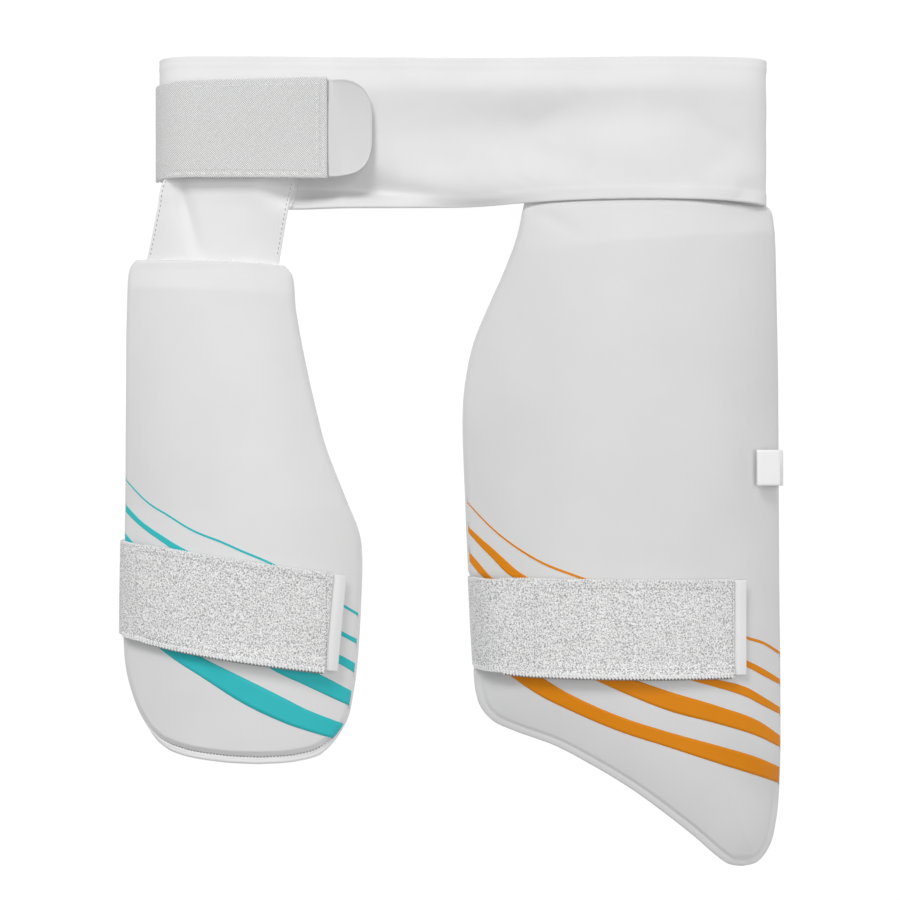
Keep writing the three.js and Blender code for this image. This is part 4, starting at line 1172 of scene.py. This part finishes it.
class Strap:
    """A thigh strap on its pad. Its place across is from -0.5 at its lower edge to 0.5 at its upper edge."""

    def __init__(self, pad, name, degrees, lap, **sizes):
        self.pad = pad
        self.name = name
        for key, size in sizes.items():
            setattr(self, key, size)
        self.tilt = math.radians(degrees)
        self.edge = float(pad.edge_at(0, self.centre))
        self.end = self.edge - STRAP_SIDE_STEP + lap
        self.hook_lift = COVER_GAP + TAPE_THICKNESS / 2
        self.strap_lift = self.hook_lift + TAPE_THICKNESS / 2 + GAP + WEBBING_THICKNESS / 2

    def fold_y(self, across):
        return self.centre + across * self.widths[0] / math.cos(self.tilt)

    def place(self, across, x):
        square = smoothstep(x, self.edge + self.pad.shoulder, self.end) * self.lean
        square = square * WEBBING_WIDTH * across
        wider = (self.widths[1] - self.widths[0]) * smoothstep(x, self.edge - 1, self.edge + 40) * across
        return x + square, self.fold_y(across) + wider + math.tan(self.tilt) * (x + square - self.edge)

    def face(self, x, y):
        return self.pad.solid_face(x, y, self.pad.shoulder)

    def line(self, across):
        edge = float(self.pad.edge_at(0, self.fold_y(across)))
        start = edge + PAD_WELT + self.pad.shoulder + 1
        front_x, front_y = self.place(across, np.linspace(self.end, start, 230))
        curl = 2.2 * smoothstep(-across, 0.34, 0.5) + 0.5 * smoothstep(across, 0.4, 0.5)
        front_z = self.face(front_x, front_y) + self.strap_lift
        front_z = front_z + curl * smoothstep(front_x, self.edge + 26, self.edge + 70)
        slope = float(slope_of(self.face, front_x[-1] + 1, front_y[-1]))
        fold = fold_points(
            -1,
            (front_x[-1], front_z[-1]),
            slope,
            (edge - self.side_step, ELASTIC_FLOOR + STRAP_TURN),
            (edge - self.side_step + 2.6, ELASTIC_FLOOR),
            STRAP_FOLD_PIECES,
        )
        under_y = lambda x: self.fold_y(across) - math.tan(self.tilt) * (x - self.edge)
        top_y = lambda x: self.fold_y(across) + math.tan(self.tilt) * (x - self.edge)
        fold_y = [under_y(x) if i > STRAP_FOLD_PIECES else top_y(x) for i, x in enumerate(fold[:, 0])]
        anchor = self.pad.left + self.pad.width - STRAP_ANCHOR_INSET
        lift = anchor - STRAP_ANCHOR_RISE
        seam = self.pad.arch(anchor, under_y(anchor)) - COVER_GAP - WEBBING_THICKNESS / 2
        floor = np.linspace(edge - self.side_step + 2.6, anchor, 44)[1:]
        rise = lerp(ELASTIC_FLOOR, float(seam), smoothstep(floor, lift, anchor))
        return joined(
            (front_x[:-1], front_y[:-1], front_z[:-1]),
            (fold[:, 0], fold_y, fold[:, 1]),
            (floor, under_y(floor), rise),
        )

    def relief(self, u, v):
        """Terry loops, thinned along the sewn rows."""
        width = v[-1:, :]
        side = np.minimum(v, width - v)
        loops = 0.30 * grain(u + 0.6 * v, v - 0.3 * u, 1.15, 11) + 0.16 * grain(u, v, 0.7, 12)
        rows = groove(side, 3.6, 0.35, 0.5) + groove(u, 3.0, 0.4, 0.5)
        return loops * smoothstep(side, 0.2, 1.2) + rows

    def webbing(self):
        shares = spread(-0.5 * WEBBING_WIDTH, 0.5 * WEBBING_WIDTH, 92, 0.8) / WEBBING_WIDTH
        lines = np.array([self.line(share) for share in shares[::-1]])
        piece = shell(self.name + "_terry", lines, WEBBING_THICKNESS, LOOP_WEBBING, self.relief)
        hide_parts(self.name)
        self.sewing()
        return piece

    def sewing(self):
        """Sewn rows round the doubled end, the loops that stand out along both edges and a row of dark pieces
        under the lower edge as painted shadow.
        """
        top = WEBBING_THICKNESS / 2
        inset = self.border / self.widths[1]
        seam = self.edge + self.seam
        rows = [seam_along(self.line, side * (0.5 - inset), seam, self.end - 2, top) for side in (-1, 1)]
        rows.append(seam_across(self.line, seam, -0.46, 0.46, top))
        rows.append(seam_across(self.line, self.end - 1.6, -0.46, 0.46, top + 0.15))
        # Stitch holes in the terry in a darker grey: painted shade
        stitches(self.name + "_stitches", rows, LOOP_PIT_SHADE, pitch=2.4, length=1.3, radius=0.32, sink=0.3)
        for name, row in LOOP_ROWS.items():
            start = self.edge + row["start"]
            runs = [seam_along(self.line, share, start, self.end - 1, row["lift"]) for share in row["shares"]]
            stitches(self.name + name, runs, row["material"], **row["stitch"])

    def hook_tape(self):
        end = self.end + self.hook_show
        x = spread(end - self.hook_lap, end, 66, 0.5)
        share = 0.5 - 1 / WEBBING_WIDTH
        across = spread(-share * WEBBING_WIDTH, share * WEBBING_WIDTH, 50, 0.5) / WEBBING_WIDTH * 1.01
        grid = np.array([np.column_stack(self.place(a, x)) for a in across[::-1]])
        height = self.face(grid[..., 0], grid[..., 1]) + self.hook_lift
        height = height + 1.5 * smoothstep(x, self.end + 0.6, self.end + 2.2)[None, :]
        piece = shell(self.name + "_tip", over(grid, height), TAPE_THICKNESS, HOOK_TAPE)
        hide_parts(self.name + "_hook_tape")
        return piece


OUTER_STRAP = Strap(
    OUTER, "outer_strap", degrees=-0.35, lap=165.0, centre=-259.9, hook_lap=130.0, hook_show=7.8, lean=0.0,
    seam=39.0, border=5.2, widths=(56.6, 59.8), side_step=-0.5,
)
INNER_STRAP = Strap(
    INNER, "inner_strap", degrees=-8.8, lap=135.0, centre=-238.2, hook_lap=121.0, hook_show=7.6, lean=0.09,
    seam=11.5, border=3.8, widths=(58.6, 61.2), side_step=2.0,
)


# Hanger panel

PANEL_BOTTOM = -INNER_PAD_DROP - PANEL_TUCK
panel_left = column(PANEL_SECTIONS, "down", "left")
panel_right = column(PANEL_SECTIONS, "down", "right")
valley_y = lerp(PANEL_TOP, PANEL_BOTTOM, PANEL_VALLEY["down"])
PANEL_FOLD = placed_fold(PANEL_VALLEY, PANEL_VALLEY["left"], valley_y)


def panel_height(x, y):
    on_belt = dressed_belt(x, y) + PANEL_ON_BELT
    on_pad = INNER.arch(x, y) + BACKING_THICKNESS + FOAM_GAP + 1.6
    sewn = pad_top(x)
    free = np.clip((6 - y) / (6 - sewn), 0, 1)
    free = 0.75 * free + 0.25 * smoothstep(free, 0, 1)
    tucked = 4.6 * smoothstep(sewn - y, 0.3, 3.6)
    valley = free * folds_at([PANEL_FOLD], x, y) * (1 - smoothstep(sewn - y, -9, 0))
    return lerp(on_belt, on_pad, free) - tucked + valley


def panel_relief(u, v):
    width = u[:, -1:]
    side = np.minimum(u, width - u)
    hems = 0.25 * (1 - smoothstep(side, 4.4, 5.6)) + groove(side, 3.6, 0.28, 0.5)
    return hems + 0.12 * grain(u, v, 13, 21) * smoothstep(side, 4, 12)


def hanger_panel():
    down = np.linspace(0, 1, 122)
    y = lerp(PANEL_TOP, PANEL_BOTTOM, down)
    left = BELT_LEFT + panel_left(down) * BELT_WIDTH
    right = BELT_LEFT + panel_right(down) * BELT_WIDTH
    t = spread(0, 80, 80, 0.8) / 80
    x = left[:, None] + (right - left)[:, None] * t
    places = np.dstack([x, np.repeat(y[:, None], len(t), axis=1)])
    grid = over(places, panel_height(places[..., 0], places[..., 1]))
    piece = shell("panel_cloth", grid, PANEL_THICKNESS, PANEL_CLOTH_PAINTED_LIGHT, panel_relief)
    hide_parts("hanger_panel")
    panel_sewing()
    return piece


def hanger_tape():
    """The hook tape that holds the panel to the belt, with its cut edge showing at the right."""
    low = box_mm("hanger_hook_tape")[0] - ORIGIN
    y = np.linspace(PANEL_TAPE_TOP, low[1], 60)
    down = (PANEL_TOP - y) / (PANEL_TOP - PANEL_BOTTOM)
    right = BELT_LEFT + panel_right(down) * BELT_WIDTH + PANEL_TAPE_SHOW
    right = right + 0.35 * grain(y, y * 0, 1.7, 51)
    t = np.linspace(0, 1, 60)
    x = low[0] + (right - low[0])[:, None] * t
    height = dressed_belt(x, y[:, None]) + TAPE_ON_BELT
    grid = np.dstack([x, np.repeat(y[:, None], 60, axis=1), height])
    piece = shell("hanger_tape", grid, TAPE_THICKNESS, HOOK_TAPE)
    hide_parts("hanger_hook_tape")
    edge = np.column_stack([right - 0.3, y, height[:, -1] + 0.5])
    fringe = [(edge, upright(len(edge)))]
    stitches("hanger_fringe", fringe, THREAD, pitch=1.6, length=2.4, radius=0.36, slant=72)


def pad_top(x):
    """The inner pad's upper edge, which the panel is sewn along."""
    left, right = INNER.sides[0][0], INNER.sides[1][0]
    return np.interp(x, [left[0], right[0]], [left[1], right[1]])


def panel_sewing():
    down = np.linspace(0.46, (PANEL_TOP + INNER_PAD_DROP - 1) / (PANEL_TOP - PANEL_BOTTOM), 60)
    y = lerp(PANEL_TOP, PANEL_BOTTOM, down)
    rows = []
    for side, inset in ((panel_left, 1.7), (panel_right, -1.7)):
        x = BELT_LEFT + side(down) * BELT_WIDTH + inset
        z = panel_height(x, y) + PANEL_THICKNESS / 2 + 0.3
        rows.append((np.column_stack([x, y, z]), np.tile([0.0, -0.3, 1.0], (len(x), 1))))
    # Dark stitch holes along the panel's sides: painted shade
    stitches("panel_stitches", rows, SEWN_PIT_SHADE, pitch=3.1, length=1.7, radius=0.2)
    x = np.linspace(BELT_LEFT - 4, BELT_LEFT + 0.197 * BELT_WIDTH, 60)
    y = pad_top(x) + 1.5
    z = panel_height(x, y) + PANEL_THICKNESS / 2 + 0.1
    ticks = [(np.column_stack([x, y, z]), upright(len(x)))]
    stitches("panel_ticks", ticks, THREAD, pitch=1.7, length=2.2, radius=0.2, slant=86)


def side_label():
    lines = []
    for across in np.linspace(0.5, -0.5, 22):
        y = LABEL_CENTRE + across * LABEL_WIDTH
        edge = float(OUTER.edge_at(1, y))
        height = lambda x: OUTER.solid_face(x, y, OUTER.shoulder) + LABEL_LIFT
        start = edge - LABEL_LAP + 4
        seam = float(OUTER.foam_bottom(edge, y)) + PAD_EDGE_THICKNESS / 2
        slope = float(height(start + 0.5) - height(start - 0.5))
        fold = fold_points(
            1,
            (start, float(height(start))),
            slope,
            (edge + LABEL_STAND_OUT, lerp(seam, float(height(start)), 0.5)),
            (edge + 0.3 + GAP, seam),
            LABEL_FOLD_PIECES,
        )
        flat = np.linspace(edge - LABEL_LAP - 4, start, 12)[:-1]
        lines.append(joined((flat, y, height(flat)), (fold[:, 0], y, fold[:, 1])))
    grid = np.array(lines)
    piece = shell("label_cloth", grid, LABEL_THICKNESS, LABEL_CLOTH)
    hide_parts("side_label")
    return piece


def label_leaf():
    """The label's upper leaf, which ends short of its fold."""
    across = np.linspace(0.49, -0.49, 20)
    y = LABEL_CENTRE + across * LABEL_WIDTH
    edge = OUTER.edge_at(1, y)
    x = edge[:, None] + np.linspace(-LABEL_LAP - LABEL_LEAF_PAST, -LABEL_LEAF_END, 22)
    rows = np.repeat(y[:, None], 22, axis=1)
    start = OUTER.solid_face(x[:, 0], y, OUTER.shoulder) + LABEL_LEAF_LIFT
    height = start[:, None] - LABEL_LEAF_SLOPE * (x - x[:, :1])
    piece = shell("label_leaf", np.dstack([x, rows, height]), LABEL_THICKNESS, LABEL_CLOTH)


def finish_solids():
    """The hook patch stays as the frame has it, in the hook tape's cloth."""
    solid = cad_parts["waist_hook_patch"]
    solid.data.materials.clear()
    solid.data.materials.append(HOOK_TAPE)


# Studio


def studio():
    scene = bpy.context.scene
    scene.view_settings.view_transform = "Standard"
    camera_data = bpy.data.cameras.new("camera")
    camera_data.sensor_width = 36.0
    camera_data.lens = 36.0 * CAMERA_HEIGHT / (2 * PHOTO_MIDDLE * PHOTO_PIXEL)
    camera = bpy.data.objects.new("camera", camera_data)
    camera.location = (np.array([CAMERA_X, CAMERA_Y, CAMERA_HEIGHT]) + ORIGIN) * MM
    scene.collection.objects.link(camera)
    scene.camera = camera

    floor_material = new_material("floor", grey(0.12), 0.9, specular=0.0)
    shader = floor_material.node_tree.nodes["Principled BSDF"]
    shader.inputs["Emission Color"].default_value = (1, 1, 1, 1)
    shader.inputs["Emission Strength"].default_value = 0.93
    mesh = bpy.data.meshes.new("floor")
    size = 6.0
    corners = [(-size, -size, 0), (size, -size, 0), (size, size, 0), (-size, size, 0)]
    mesh.from_pydata(corners, [], [(0, 1, 2, 3)])
    mesh.materials.append(floor_material)
    floor = bpy.data.objects.new("floor", mesh)
    floor.location.z = -0.0004
    scene.collection.objects.link(floor)

    world = bpy.data.worlds.new("studio")
    scene.world = world
    world.use_nodes = True
    world.node_tree.nodes["Background"].inputs["Color"].default_value = (1, 1, 1, 1)
    world.node_tree.nodes["Background"].inputs["Strength"].default_value = 0.30
    add_light("key", (-0.75, 1.75, 2.1), 0.85, 37.0)
    add_light("overhead", (1.0, 0.2, 3.0), 2.1, 39.0)


def add_light(name, location, size, power):
    data = bpy.data.lights.new(name, "AREA")
    data.size = size
    data.energy = power
    lamp = bpy.data.objects.new(name, data)
    lamp.location = location
    direction = np.array(location) / np.linalg.norm(location)
    lamp.rotation_euler = (math.acos(direction[2]), 0, math.atan2(direction[0], -direction[1]))
    bpy.context.scene.collection.objects.link(lamp)


studio()
pad_cover(OUTER, "outer_pad_cover", "outer_pad", PAD_CLOTH, 31)
pad_cover(INNER, "inner_pad_cover", "inner_pad", INNER_PAD_CLOTH, 41)
pad_lining(OUTER, "outer_pad_lining", "outer_pad_backing", 0.0)
pad_lining(INNER, "inner_pad_lining", "inner_pad_backing", 2.6)
pad_flange(INNER)
pad_stripes(OUTER, "outer_pad_stripes", ORANGE_STRIPES, ORANGE_PRINT, 31)
pad_stripes(INNER, "inner_pad_stripes", TEAL_STRIPES, TEAL_PRINT, 41)
waist_belt()
waist_elastic()
waist_tab()
hanger_tape()
hanger_panel()
for strap in (OUTER_STRAP, INNER_STRAP):
    strap.hook_tape()
    strap.webbing()
side_label()
label_leaf()
finish_solids()
